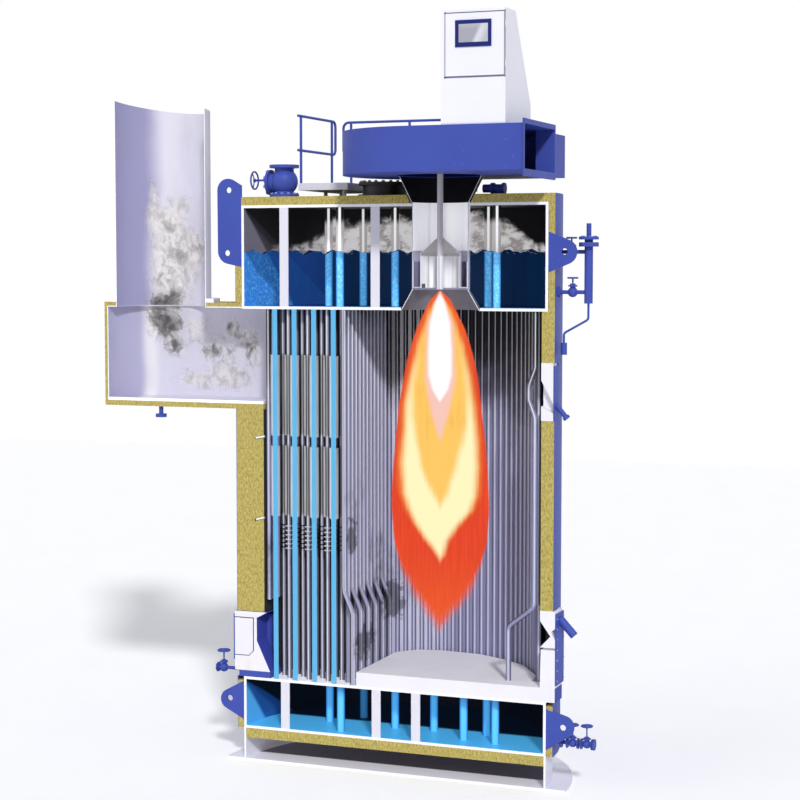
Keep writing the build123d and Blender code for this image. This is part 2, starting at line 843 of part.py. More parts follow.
def make_steam_valve():
    x, y = steam_valve_x, steam_valve_y
    bottom = top_level
    top = bottom + steam_valve_height
    axis_z = bottom + steam_axis_lift
    bonnet_z = axis_z - steam_bonnet_drop
    bonnet_x = x - steam_bonnet_reach
    yoke_x = x - steam_yoke_reach
    spindle_x = x - steam_spindle_start
    wheel_x = x - steam_wheel_reach
    body = ball(x, y, bottom + steam_body_lift, steam_body_radius)
    body = body + post(x, y, bottom, top, steam_bore_radius + steam_neck_wall)
    body = body + post(x, y, bottom, bottom + steam_flange_thickness, steam_flange_radius)
    body = body + post(x, y, top - steam_flange_thickness, top, steam_flange_radius)
    body = body + rod((bonnet_x, y, bonnet_z), (x, y, bonnet_z), steam_bonnet_radius)
    bonnet_flange_end = (bonnet_x + steam_bonnet_flange_thickness, y, bonnet_z)
    body = body + rod((bonnet_x, y, bonnet_z), bonnet_flange_end, steam_bonnet_flange_radius)
    body = body - post(x, y, bottom, top, steam_bore_radius)
    for i in range(steam_bolt_count):
        turn = 2 * pi * i / steam_bolt_count
        hole_x = x + steam_bolt_circle_radius * cos(turn)
        hole_y = y + steam_bolt_circle_radius * sin(turn)
        body = body - post(hole_x, hole_y, top - steam_flange_thickness - 5, top, steam_bolt_radius)
    body = body + rod((bonnet_x, y, axis_z), (yoke_x, y, axis_z), steam_yoke_radius)
    guide_radius = steam_spindle_radius + spindle_clearance
    body = body - rod((spindle_x, y, axis_z), (yoke_x - 1, y, axis_z), guide_radius)
    save("steam_valve", body)
    wheel_plane = Plane(origin=(wheel_x, y, axis_z), z_dir=(1, 0, 0))
    wheel = wheel_plane * handwheel(steam_wheel_radius, steam_wheel_rim)
    spindle = rod((wheel_x, y, axis_z), (spindle_x - spindle_end_gap, y, axis_z), steam_spindle_radius)
    save("steam_valve_handwheel", wheel + spindle)


def make_blowdown():
    y, z = blowdown_y, blowdown_z
    end_x = casing_radius + blowdown_end_reach
    flange_x = casing_radius + blowdown_first_flange
    start_x = casing_face(y - blowdown_pipe_radius)
    line = rod((start_x, y, z), (end_x, y, z), blowdown_pipe_radius)
    for x in (end_x - blowdown_flange_thickness, flange_x):
        line = line + rod((x, y, z), (x + blowdown_flange_thickness, y, z), blowdown_flange_radius)
    for name, reach in zip(("inner", "outer"), blowdown_valve_reach):
        x = casing_radius + reach
        line = line + globe_valve(x, y, z, blowdown_body_radius)
        for side in (-1, 1):
            start = (x + side * blowdown_collar_start, y, z)
            line = line + rod(start, (x + side * blowdown_collar_end, y, z), blowdown_collar_radius)
        wheel_z = z + blowdown_wheel_lift
        wheel = spindle_wheel(x, y, z, blowdown_body_radius, wheel_z, blowdown_wheel_radius)
        save(f"blowdown_{name}_handwheel", wheel)
    save("blowdown_valves", line)


def make_drain_valve():
    x = -casing_radius - drain_reach
    y = drain_y
    z = tube_foot + drain_lift
    pipe_z = z - drain_pipe_drop
    end_x = x - drain_end_reach
    pipe_end = (left_door_box_x, y, pipe_z)
    body = globe_valve(x, y, z, drain_body_radius)
    body = body + post(x, y, pipe_z - 20, z, drain_pipe_radius)
    body = body + rod((x - drain_pipe_radius, y, pipe_z), pipe_end, drain_pipe_radius)
    body = body + rod((x - 20, y, z), (end_x, y, z), drain_stub_radius)
    body = body + rod((end_x + 20, y, z), (end_x, y, z), drain_flange_radius)
    save("drain_valve", body)
    wheel = spindle_wheel(x, y, z, drain_body_radius, z + drain_wheel_lift, drain_wheel_radius)
    save("drain_valve_handwheel", wheel)


def make_water_gauge():
    x = casing_radius + gauge_reach
    y = gauge_y
    foot = tube_head + gauge_foot_lift
    head = foot + gauge_column_height
    cap_top = head + gauge_cap_height
    column = post(x, y, foot, cap_top, gauge_column_radius)
    column = column + post(x, y, head - 60, head, gauge_flange_radius)
    column = column + post(x, y, cap_top - 10, cap_top + 30, gauge_flange_radius)
    column = column + post(x, y, cap_top - 5, cap_top + gauge_vent_height, gauge_vent_radius)
    wall = casing_face(y - gauge_branch_flange_radius)
    branches = [
        ("upper", gauge_upper_lift, gauge_upper_reach, gauge_upper_wheel_lift),
        ("lower", gauge_lower_lift, gauge_lower_reach, gauge_lower_wheel_lift)
    ]
    for name, lift, reach, wheel_lift in branches:
        z = tube_head + lift
        valve_x = casing_radius + reach
        column = column + rod((wall, y, z), (x, y, z), gauge_branch_radius)
        flange_x = wall + gauge_branch_flange_thickness
        column = column + rod((wall, y, z), (flange_x, y, z), gauge_branch_flange_radius)
        column = column + globe_valve(valve_x, y, z, gauge_body_radius)
        wheel = spindle_wheel(valve_x, y, z, gauge_body_radius, z + wheel_lift, gauge_wheel_radius)
        save(f"{name}_gauge_handle", wheel)
    pot_x = casing_radius + gauge_pot_reach
    first, second, third = [tube_head - drop for drop in gauge_drain_drops]
    drain = bent_tube(
        gauge_drain_radius, gauge_drain_bend,
        (x, y, foot + 1), (x, y, first), (pot_x, y, second), (pot_x, y, third)
    )
    pot = post(pot_x, y, third + 10 - gauge_pot_height, third + 10, gauge_pot_radius)
    save("water_gauge", column + drain + pot)


# Side view of a door piece: each point is (reach past the casing, level), on the given side
def door_piece(side, depth, *points):
    return upright(profile(*[(side * (casing_radius + reach), level) for reach, level in points]), depth)


def make_left_door():
    outer = left_door_reach
    sill_top = left_door_bottom + left_door_sill
    head = left_door_top - left_door_lintel
    step = sill_top + 225
    joint = left_door_joint
    frame = door_piece(
        -1, left_door_depth - 40, (outer, sill_top), (-547, sill_top), (-327, sill_top + 465), (-327, head),
        (-277, head), (-277, step + 80), (-197, step), (outer, step)
    )
    plug = door_piece(
        -1, left_door_depth - 60, (outer, step + joint), (-195, step + joint), (-262, step + 80),
        (-262, head - joint), (outer, head - joint)
    )
    lintel = door_piece(
        -1, left_door_depth - 20, (outer, head + 2), (-327, head + 2), (-497, left_door_top - 8),
        (outer, left_door_top - 8)
    )
    save("left_door_refractory", frame, plug, lintel)
    rear = left_door_depth - 16
    left = left_door_box_x
    back = block(left, left + left_door_back_width, rear - left_door_plate, rear, sill_top, head - 2)
    sill = block(left, left + left_door_sill_width, 0, rear, tube_foot, sill_top)
    save("left_door_box", back + sill)
    cover_outer = outer + door_cover_thickness
    cover_inner = outer + fit_gap
    save("left_door_cover", door_piece(
        -1, left_door_depth - 20, (cover_outer, step - 70), (cover_inner, step - 70),
        (cover_inner, left_door_top - 60), (cover_outer, left_door_top - 60)
    ))


def make_right_door():
    inner = door_inner_x - casing_radius
    joint = right_door_top - 531
    head = right_door_top - fit_gap
    depth = right_door_depth - door_cover_thickness
    upper = door_piece(
        1, depth, (inner, head), (door_reach, head), (door_reach, head - 246), (door_reach - 55, head - 295),
        (door_reach - 45, head - 340), (door_reach, head - 410), (door_reach, joint), (inner, joint),
        (inner + 156, head - 364), (inner, head - 147)
    )
    lower = door_piece(
        1, depth, (inner, right_door_bottom), (door_reach, right_door_bottom), (door_reach, joint - 35),
        (inner + 14, joint - 35)
    )
    save("right_door_refractory", upper, lower)
    face = door_outer_x + fit_gap
    cover = block(
        face, door_outer_x + door_cover_thickness, 0, right_door_depth, right_door_bottom + 40,
        right_door_top - 40
    )
    port_start = (door_outer_x + 10, door_port_y, right_door_top - 130)
    port = rod(port_start, (door_outer_x + 230, door_port_y, right_door_top - 370), door_port_radius)
    port = port - block(face - far, face, -far, far, 0, far)
    save("right_door_cover", cover + port)


def make_peephole():
    inner = door_inner_x - casing_radius
    foot = peephole_bottom + fit_gap
    head = peephole_top - fit_gap
    depth = peephole_depth - 10
    face = -peephole_setback
    view = door_piece(
        1, peephole_view_depth, (inner - 1, head - 246), (face + 1, head - 580), (face + 1, head - 716),
        (inner - 1, head - 615)
    )
    whole = door_piece(1, depth, (inner, head), (face, head), (face, foot), (inner, foot))
    save("peephole_block", whole - view)
    face = casing_radius - peephole_setback + fit_gap
    start = (casing_radius - 7, peephole_y, peephole_bottom + 228)
    end = (casing_radius + 143, peephole_y, peephole_bottom + 48)
    collar = (casing_radius + 129, peephole_y, peephole_bottom + 65)
    collar_end = (casing_radius + 155, peephole_y, peephole_bottom + 34)
    sight = rod(start, end, sight_tube_radius) + rod(collar, collar_end, sight_collar_radius)
    sight = sight - block(face - far, face, -far, far, 0, far)
    flange = block(face, face + 20, 0, depth, foot, peephole_top - 40)
    save("peephole_sight_tube", sight + flange)


# An open-bottomed deck: a plate with beams round its edge
def tray(left, right, front, rear, top):
    plate = deck_plate
    foot = top - deck_beam
    inside = block(left + plate, right - plate, front + plate, rear - plate, foot, top - plate)
    return block(left, right, front, rear, foot, top) - inside


def make_platform():
    deck_z = top_level + deck_height
    deck = tray(deck_left_x, deck_side_right_x, deck_front_y, deck_rear_y, deck_z)
    deck = deck + tray(deck_side_right_x - deck_plate, walkway_right_x, walkway_front_y, deck_rear_y, deck_z)
    for x, y in deck_feet:
        deck = deck + post(x, y, top_level, deck_z - deck_plate, deck_foot_radius)
    save("platform_deck", deck)

    top = deck_z + rail_height
    middle = deck_z + rail_height * rail_middle_share
    side_x = deck_left_x + rail_inset
    rear_y = deck_rear_y - rail_inset
    side_front = deck_front_y - rail_overhang
    side_rear = rear_y - rail_corner_gap
    rear_right = walkway_right_x - rear_rail_right_margin
    side_rail = bent_tube(
        rail_radius, rail_bend, (side_x, side_front, top), (side_x, side_rear, top),
        (side_x, side_rear, middle), (side_x, side_front, middle)
    )
    rear_rail = bent_tube(
        rail_radius, rail_bend, (rear_right, rear_y, top), (rear_rail_left_x, rear_y, top),
        (rear_rail_left_x, rear_y, middle), (rear_right, rear_y, middle)
    )
    for y in (deck_front_y + 40, side_rear - 140):
        side_rail = side_rail + post(side_x, y, deck_z, top, rail_radius)
    for x in rear_rail_posts:
        rear_rail = rear_rail + post(x, rear_y, deck_z, top, rail_radius)
    save("platform_railings", side_rail, rear_rail)


def make_manhole():
    x, y = manhole_x, manhole_y
    neck_top = top_level + manhole_neck_height
    neck = post(x, y, top_level, neck_top, manhole_neck_radius)
    pad = post(x, y, top_level, top_level + manhole_pad_height, manhole_pad_radius)
    cover = post(x, y, neck_top, neck_top + manhole_cover_thickness, manhole_cover_radius)
    save("manhole", neck + pad + cover)


def make_vent_valve():
    z = top_level + vent_lift
    lengths = [
        (vent_pipe_ends, vent_pipe_radius), (vent_middle_flange, vent_middle_flange_radius),
        (vent_end_flange, vent_end_flange_radius)
    ]
    valve = post(vent_x, vent_y, top_level, z, vent_riser_radius)
    for (start, end), radius in lengths:
        valve = valve + rod((vent_x + start, vent_y, z), (vent_x + end, vent_y, z), radius)
    save("vent_valve", valve)


make_base()
make_lower_drum()
make_upper_drum()
make_insulation()
make_casing()
make_furnace_wall()
make_partition()
make_convection_bank()
make_furnace_floor()
make_burner()
make_windbox()
make_cabinet()
make_flue()
make_lugs()
make_steam_valve()
make_blowdown()
make_drain_valve()
make_water_gauge()
make_left_door()
make_right_door()
make_peephole()
make_platform()
make_manhole()
make_vent_valve()
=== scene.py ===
import math

import bpy
from mathutils import Matrix, Vector


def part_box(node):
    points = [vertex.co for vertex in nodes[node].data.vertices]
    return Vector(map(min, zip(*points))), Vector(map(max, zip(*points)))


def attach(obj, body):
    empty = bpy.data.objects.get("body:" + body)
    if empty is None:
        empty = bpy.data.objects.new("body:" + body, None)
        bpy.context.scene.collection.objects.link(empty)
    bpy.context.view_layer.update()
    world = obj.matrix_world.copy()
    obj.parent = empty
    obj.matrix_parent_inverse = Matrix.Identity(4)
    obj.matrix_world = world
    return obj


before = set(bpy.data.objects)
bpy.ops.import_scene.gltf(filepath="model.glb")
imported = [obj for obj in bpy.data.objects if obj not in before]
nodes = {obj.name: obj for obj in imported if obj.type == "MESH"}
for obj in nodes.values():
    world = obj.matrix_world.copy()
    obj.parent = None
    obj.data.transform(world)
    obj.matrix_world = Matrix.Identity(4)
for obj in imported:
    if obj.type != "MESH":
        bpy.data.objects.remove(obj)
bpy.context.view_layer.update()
scene = bpy.context.scene
print("frame loaded with", len(nodes), "nodes")

viewSlant = 0.39  # metres along the cut for each metre of depth, as the camera's view runs


def tint(text):  # a written colour as linear red, green and blue
    channels = [int(text[i:i + 2], 16) / 255 for i in (0, 2, 4)]
    return tuple(c / 12.92 if c <= 0.04045 else ((c + 0.055) / 1.055) ** 2.4 for c in channels)


def link(made):
    scene.collection.objects.link(made)
    return made


# Shader maths: a Value wraps a socket, and a sum or product of Values adds its Math nodes

class Value:
    def __init__(self, graph, socket):
        self.graph = graph
        self.socket = socket

    def __add__(self, other):
        return self.graph.maths("ADD", self, other)

    __radd__ = __add__

    def __sub__(self, other):
        return self.graph.maths("SUBTRACT", self, other)

    def __rsub__(self, other):
        return self.graph.maths("SUBTRACT", other, self)

    def __mul__(self, other):
        return self.graph.maths("MULTIPLY", self, other)

    __rmul__ = __mul__

    def __truediv__(self, other):
        return self.graph.maths("DIVIDE", self, other)

    def __rtruediv__(self, other):
        return self.graph.maths("DIVIDE", other, self)

    def __abs__(self):
        return self.graph.maths("ABSOLUTE", self)

    def __gt__(self, other):
        return self.graph.maths("GREATER_THAN", self, other)

    def __lt__(self, other):
        return self.graph.maths("LESS_THAN", self, other)


class Graph:
    def __init__(self, tree):
        self.tree = tree

    def feed(self, socket, value):
        source = getattr(value, "socket", value)
        if isinstance(source, bpy.types.Node):
            source = source.outputs[0]
        if isinstance(source, bpy.types.NodeSocket):
            self.tree.links.new(source, socket)
        else:
            socket.default_value = source

    # Any node: its type, the settings that come first, then its sockets by place or by name
    def add(self, kind, settings=None, *values, **named):
        made = self.tree.nodes.new(kind)
        for key, value in (settings or {}).items():
            if key == "stops":
                self.setStops(made.color_ramp, value)
            else:
                setattr(made, key, value)
        for socket, value in zip(made.inputs, values):
            if value is not None:
                self.feed(socket, value)
        for label, value in named.items():
            self.feed(made.inputs[label.replace("_", " ")], value)
        return made

    def setStops(self, ramp, stops):
        while len(ramp.elements) > 1:
            ramp.elements.remove(ramp.elements[-1])
        for i, (place, colour) in enumerate(stops):
            element = ramp.elements[0] if i == 0 else ramp.elements.new(place)
            element.position = place
            element.color = (*colour, 1.0)

    def maths(self, operation, *values):
        made = self.add("ShaderNodeMath", {"operation": operation}, *values)
        return Value(self, made.outputs[0])

    def larger(self, first, second):
        return self.maths("MAXIMUM", first, second)

    def smaller(self, first, second):
        return self.maths("MINIMUM", first, second)

    # 0 below low, 1 above high, smooth between
    def between(self, value, low, high):
        made = self.add("ShaderNodeMapRange", {"interpolation_type": "SMOOTHSTEP"}, value, low, high)
        return Value(self, made.outputs[0])

    # 1 where the background is seen: by the camera, through glass or in a gloss
    def backgroundSeen(self):
        path = self.add("ShaderNodeLightPath")
        seen = self.larger(path.outputs["Is Camera Ray"], path.outputs["Is Transmission Ray"])
        return self.larger(seen, path.outputs["Is Glossy Ray"])


class Finish(Graph):
    def __init__(self, name):
        self.material = bpy.data.materials.new(name)
        self.material.use_nodes = True
        super().__init__(self.material.node_tree)
        self.tree.nodes.clear()
        self.coordinates = self.add("ShaderNodeTexCoord")
        self.place = self.coordinates.outputs["Object"]
        split = self.add("ShaderNodeSeparateXYZ", None, self.place)
        self.x, self.y, self.z = (Value(self, split.outputs[i]) for i in range(3))

    def mix(self, factor, first, second):
        made = self.add("ShaderNodeMix", {"data_type": "RGBA"})
        self.feed(made.inputs[0], factor)
        for socket, colour in ((made.inputs[6], first), (made.inputs[7], second)):
            self.feed(socket, (*tint(colour), 1.0) if isinstance(colour, str) else colour)
        return Value(self, made.outputs[2])

    def noise(self, scale, detail=3.0, roughness=0.5, stretch=None, distortion=0.0):
        place = self.place
        if stretch:
            place = self.add("ShaderNodeMapping", None, place, Scale=stretch)
        made = self.add(
            "ShaderNodeTexNoise", None, Vector=place, Scale=scale, Detail=detail, Roughness=roughness,
            Distortion=distortion
        )
        return Value(self, made.outputs[0])

    def ramp(self, factor, *stops):
        rows = [(place, tint(colour)) for place, colour in stops]
        made = self.add("ShaderNodeValToRGB", {"stops": rows}, factor)
        return Value(self, made.outputs[0])

    # Metres along the cut, carried back on the view's slant
    def slanted(self):
        return self.x + self.y * viewSlant

    # How squarely a face looks along a fixed direction of the object, 1 at most
    def facing(self, direction):
        along = Vector(direction).normalized()
        normal = self.coordinates.outputs["Normal"]
        made = self.add("ShaderNodeVectorMath", {"operation": "DOT_PRODUCT"}, normal, along)
        return Value(self, made.outputs["Value"])

    # 1 on the faces in the section plane
    def cutFace(self):
        return (self.y < 0.003) * self.between(self.facing((0, -1, 0)), 0.9, 0.97)

    def attribute(self, name):
        made = self.add("ShaderNodeAttribute", {"attribute_name": name})
        return Value(self, made.outputs["Fac"])

    def bump(self, height, strength, distance):
        return self.add("ShaderNodeBump", None, Strength=strength, Distance=distance, Height=height)

    # A faint light of the surface's own colour, which lifts the boiler's deep inside
    def lift(self, strength, colour):
        return self.mix(strength, "000000", colour)

    def done(self, colour, roughness=0.5, metallic=0.0, normal=None, alpha=None, glow=None, glowStrength=1.0,
             coat=0.0, specular=0.5):
        shader = self.add("ShaderNodeBsdfPrincipled")
        named = {
            "Base Color": colour, "Roughness": roughness, "Metallic": metallic, "Normal": normal,
            "Alpha": alpha, "Emission Color": glow
        }
        for label, value in named.items():
            if isinstance(value, str):
                value = (*tint(value), 1.0)
            if value is not None:
                self.feed(shader.inputs[label], value)
        shader.inputs["Emission Strength"].default_value = glowStrength if glow is not None else 0.0
        shader.inputs["Coat Weight"].default_value = coat
        shader.inputs["Specular IOR Level"].default_value = specular
        self.add("ShaderNodeOutputMaterial", None, shader)
        return self.material


# Camera, light and floor

cameraSettings = {
    "position": (10.336, -25.940, 7.548),
    "forward": (-0.36445, 0.92854, -0.07063),
    "up": (-0.0258, 0.0657, 0.9975),
    "lens": 86.1,
    "sensor": 36.0,
    "farthest": 300.0,
}
lightSettings = {
    "key": {"comesFrom": (0.42, -0.72, 0.55), "strength": 2.35, "softness": 6.0},
    "fill": {"comesFrom": (-0.75, -0.6, 0.25), "strength": 0.5, "softness": 50.0},
}
skySettings = {"colour": "f4f6ff", "strength": 0.36}
floorSettings = {"size": 90.0, "colour": "ffffff", "cloudy": "f6f6fa", "lift": 0.2, "roughness": 0.9}


def makeCamera(settings):
    data = bpy.data.cameras.new("camera")
    data.lens = settings["lens"]
    data.sensor_width = settings["sensor"]
    data.clip_end = settings["farthest"]
    forward = Vector(settings["forward"]).normalized()
    right = forward.cross(Vector(settings["up"])).normalized()
    turn = Matrix((right, right.cross(forward), -forward)).transposed()
    made = link(bpy.data.objects.new("camera", data))
    made.matrix_world = Matrix.Translation(settings["position"]) @ turn.to_4x4()
    scene.camera = made


def makeSun(name, comesFrom, strength, softness):
    data = bpy.data.lights.new(name, "SUN")
    data.energy = strength
    data.angle = math.radians(softness)
    made = link(bpy.data.objects.new(name, data))
    made.rotation_mode = "QUATERNION"
    made.rotation_quaternion = Vector(comesFrom).to_track_quat("Z", "Y")


def makeWorld(settings):
    world = bpy.data.worlds.new("studio")
    scene.world = world
    world.use_nodes = True
    graph = Graph(world.node_tree)
    graph.tree.nodes.clear()
    colour = (*tint(settings["colour"]), 1.0)
    sky = graph.add("ShaderNodeBackground", None, colour, settings["strength"])
    white = graph.add("ShaderNodeBackground", None, (1.0, 1.0, 1.0, 1.0), 1.0)
    both = graph.add("ShaderNodeMixShader", None, graph.backgroundSeen(), sky, white)
    graph.add("ShaderNodeOutputWorld", None, both)


def makeFloor(settings):
    half = settings["size"] / 2
    mesh = bpy.data.meshes.new("floor")
    corners = [(-half, -half, 0), (half, -half, 0), (half, half, 0), (-half, half, 0)]
    mesh.from_pydata(corners, [], [(0, 1, 2, 3)])
    finish = Finish("paleFloor")
    colour = finish.mix(finish.noise(0.8, 2.0), settings["colour"], settings["cloudy"])
    glow = finish.mix(finish.backgroundSeen(), "000000", "ffffff")
    material = finish.done(colour, settings["roughness"], glow=glow, glowStrength=settings["lift"])
    mesh.materials.append(material)
    link(bpy.data.objects.new("floor", mesh))


scene.view_settings.view_transform = "Standard"
makeCamera(cameraSettings)
makeWorld(skySettings)
for lampName, lamp in lightSettings.items():
    makeSun(lampName, **lamp)
makeFloor(floorSettings)
print("camera, light and floor made")


# Finishes of the CAD nodes

def dress(material, names):
    for name in names.split():
        piece = nodes[name]
        if not piece.material_slots:
            piece.data.materials.append(material)
        for place in piece.material_slots:
            place.material = material


paintSettings = {"blue": "4658ae", "deep": "3b499c", "chipped": "7c88c4", "chips": 0.45, "grain": 0.002}


def bluePaint(settings):
    finish = Finish("bluePaint")
    broad = finish.noise(0.9, 2.0)
    fine = finish.noise(60.0, 2.0)
    scuffs = finish.between(finish.noise(14.0, 6.0, 0.65), 0.62, 0.72) * finish.between(broad, 0.45, 0.65)
    colour = finish.mix(broad, settings["blue"], settings["deep"])
    colour = finish.mix(scuffs * settings["chips"], colour, settings["chipped"])
    normal = finish.bump(fine, 0.12, settings["grain"])
    return finish.done(colour, fine * 0.15 + scuffs * 0.15 + 0.42, 0.0, normal, specular=0.16)


plateSettings = {"pale": "d9d9e6", "shade": "c4c4d6", "streaks": "b9b9c8", "cut": "f6f6fb", "grain": 0.002}


def palePlate(settings):
    finish = Finish("palePlate")
    broad = finish.noise(0.7, 4.0)
    fine = finish.noise(45.0, 3.0)
    streaks = finish.noise(3.0, 4.0, 0.6, (1, 1, 0.12))
    colour = finish.mix(broad, settings["pale"], settings["shade"])
    colour = finish.mix(finish.between(streaks, 0.5, 0.8) * 0.35, colour, settings["streaks"])
    colour = finish.mix(finish.cutFace(), colour, settings["cut"])
    return finish.done(colour, fine * 0.2 + 0.35, 0.0, finish.bump(fine, 0.1, settings["grain"]))


baseSettings = {
    "pale": "dedeec",
    "worn": "cacade",
    "cut": "f0f0f8",
    "drumSquare": (5.55, 5.6),  # the drum's radius, squared: its shade lies within
    "shadeStarts": (0.40, 0.44),
    "lit": "dcdcee",
    "shade": "62607a",
    "leftEnds": (-2.1, -1.95),
    "leftLit": "c2c0d6",
    "wallShade": "2c2a30",
    "glow": 0.12,
    "grain": 0.002,
}


# Base: pale in front, in the drum's painted shade behind, with the skirt's walls lit at the left and in
# painted shade to the right
def baseSteel(settings):
    finish = Finish("baseSteel")
    fine = finish.noise(45.0, 3.0)
    broad = finish.noise(0.7, 4.0)
    inside = 1.0 - finish.between(finish.x * finish.x + finish.y * finish.y, *settings["drumSquare"])
    level = finish.between(finish.facing((0, 0, 1)), 0.4, 0.6)
    shade = finish.between(finish.y, *settings["shadeStarts"])
    right = finish.between(finish.slanted(), *settings["leftEnds"])
    walls = finish.mix(right, settings["leftLit"], settings["wallShade"])
    under = finish.mix(level, walls, finish.mix(shade, settings["lit"], settings["shade"]))
    colour = finish.mix(inside, finish.mix(broad, settings["pale"], settings["worn"]), under)
    colour = finish.mix(finish.cutFace(), colour, settings["cut"])
    glow = finish.lift((1.0 - finish.cutFace()) * settings["glow"], colour)
    return finish.done(colour, fine * 0.2 + 0.35, 0.0, finish.bump(fine, 0.1, settings["grain"]), glow=glow)


waterSettings = {
    "level": 7.735,
    "waves": [(0.05, 9.3, 0.4), (0.028, 17.3, 2.0), (0.012, 31.0, 1.0)],  # height, pitch and shift of each
    "trough": -0.055,
    "softness": 0.012,
}


# Round wave crests with sharp troughs, the same for numbers and for shader Values
def waveLine(reach, sine):
    waves = sum(high * abs(sine(reach * pitch + shift)) for high, pitch, shift in waterSettings["waves"])
    return waves + waterSettings["trough"]


def waveHeight(finish):
    return waveLine(finish.slanted(), lambda value: finish.maths("SINE", value))


def underWater(finish):
    depth = waveHeight(finish) + waterSettings["level"] - finish.z
    return finish.between(depth, -waterSettings["softness"], waterSettings["softness"])


lowerDrumSettings = {
    "cut": "f6f6fb",
    "head": "ececf4",
    "headFrom": (1.27, 1.275),
    "side": "2c78b8",
    "back": "0c131e",
    "shadeAbove": (0.52, 0.66),
    "shadeBehind": (0.5, 0.9),
    "corner": (-2.38, 1.24),  # top left corner, where the fans of light start
    "fans": [(1.05, "1f4c8c"), (0.42, "50a4dc")],
    "fanSoftness": (-0.04, 0.02),
    "bed": "4aaee6",
    "bedLight": "7cc6f0",
    "bedShade": "0c1a30",
    "bedShadeFrom": (0.85, 0.95),
    "glow": 0.3,
}


# Lower drum, full of water: blue sides and bed, dark above and behind with painted shade, with painted fans
# of light at the left
def lowerDrumSteel(settings):
    finish = Finish("lowerDrum")
    cut = finish.cutFace()
    sparkle = finish.between(finish.noise(24.0, 4.0, 0.65), 0.45, 0.75)
    above = finish.between(finish.z, *settings["shadeAbove"])
    behind = finish.between(finish.y, *settings["shadeBehind"])
    sides = finish.mix(finish.larger(above, behind), settings["side"], settings["back"])
    cornerX, cornerZ = settings["corner"]
    reach = finish.slanted() - cornerX
    drop = cornerZ - finish.z
    for lean, colour in settings["fans"]:
        fan = 1.0 - finish.between(reach - drop * lean, *settings["fanSoftness"])
        sides = finish.mix(fan * 0.9, sides, colour)
    bed = finish.mix(sparkle * 0.15, settings["bed"], settings["bedLight"])
    bed = finish.mix(finish.between(finish.y, *settings["bedShadeFrom"]), bed, settings["bedShade"])
    level = finish.between(finish.facing((0, 0, 1)), 0.4, 0.6)
    wet = finish.mix(level, sides, bed)
    wet = finish.mix(finish.between(finish.z, *settings["headFrom"]), wet, settings["head"])
    glow = finish.lift((1.0 - cut) * settings["glow"], wet)
    return finish.done(finish.mix(cut, wet, settings["cut"]), 0.4, glow=glow, specular=0.2)


upperDrumSettings = {
    "cut": "f6f6fb",
    "corner": (-2.36, 8.40),
    "firstFan": 0.50,
    "secondFan": 0.93,
    "wetLeft": ("204a98", "2a5aa6"),
    "wetRight": ("0b2344", "153c6c"),
    "rightFrom": (0.9, 1.8),
    "wetSecond": ("2456a4", "2f68b4"),
    "wetFirst": ("3480d0", "74c0ee"),
    "bed": ("3f96dc", "0c1c38"),
    "bedShadeFrom": (0.25, 0.4),
    "dry": ("141416", "242428"),
    "drySecond": "454249",
    "dryFirst": "7c7884",
    "glow": (0.12, 0.22),  # everywhere, and more under water
}


# Upper drum: wet blue below the water line, darker to the right and with painted shade towards the back of
# its bed, dark with painted shade in the steam space, with two painted fans of light at the left
def upperDrumSteel(settings):
    finish = Finish("upperDrum")
    cut = finish.cutFace()
    broad = finish.noise(1.1, 3.0)
    fine = finish.noise(13.0, 5.0, 0.7)
    drapes = finish.noise(7.0, 3.0, 0.6, (1, 1, 0.05))
    sparkle = finish.between(finish.noise(24.0, 4.0, 0.65), 0.45, 0.75)
    under = underWater(finish)
    cornerX, cornerZ = settings["corner"]
    reach = finish.slanted() - cornerX
    drop = cornerZ - finish.z
    first = 1.0 - finish.between(reach - drop * settings["firstFan"], -0.02, 0.02)
    second = 1.0 - finish.between(reach - drop * settings["secondFan"], -0.03, 0.03)
    right = finish.between(reach, *settings["rightFrom"])
    wet = finish.mix(right, finish.mix(fine, *settings["wetLeft"]), finish.mix(drapes, *settings["wetRight"]))
    wet = finish.mix(second * 0.7, wet, finish.mix(fine, *settings["wetSecond"]))
    wet = finish.mix(first * 0.85, wet, finish.mix(sparkle, *settings["wetFirst"]))
    level = finish.between(finish.facing((0, 0, 1)), 0.5, 0.8)
    bed = finish.mix(finish.between(finish.y, *settings["bedShadeFrom"]), *settings["bed"])
    wet = finish.mix(level * 0.9, wet, bed)
    dry = finish.mix(broad, *settings["dry"])
    dry = finish.mix(second * 0.85, dry, settings["drySecond"])
    dry = finish.mix(first * 0.9, dry, settings["dryFirst"])
    colour = finish.mix(under, dry, wet)
    least, more = settings["glow"]
    glow = finish.lift((1.0 - cut) * (under * more + least), colour)
    return finish.done(finish.mix(cut, colour, settings["cut"]), 0.45, glow=glow, specular=0.25)


flueSettings = {
    "stackSteel": {
        "left": "9492b4", "right": "d2d0dc", "change": (-4.15, -3.8), "highlightBand": (-3.9, -3.5),
        "strength": 0.1, "glow": 0.08
    },
    "boxSteel": {
        "left": "a09eb8", "right": "c2c0ce", "change": (-4.3, -3.9), "highlightBand": (-4.25, -3.88),
        "strength": 0.4, "glow": 0.2
    },
    "highlightTone": "eeeae4",
    "highlightEdge": 0.16,
    "stain": "8a8890",
    "cut": "f8f8fc",
}
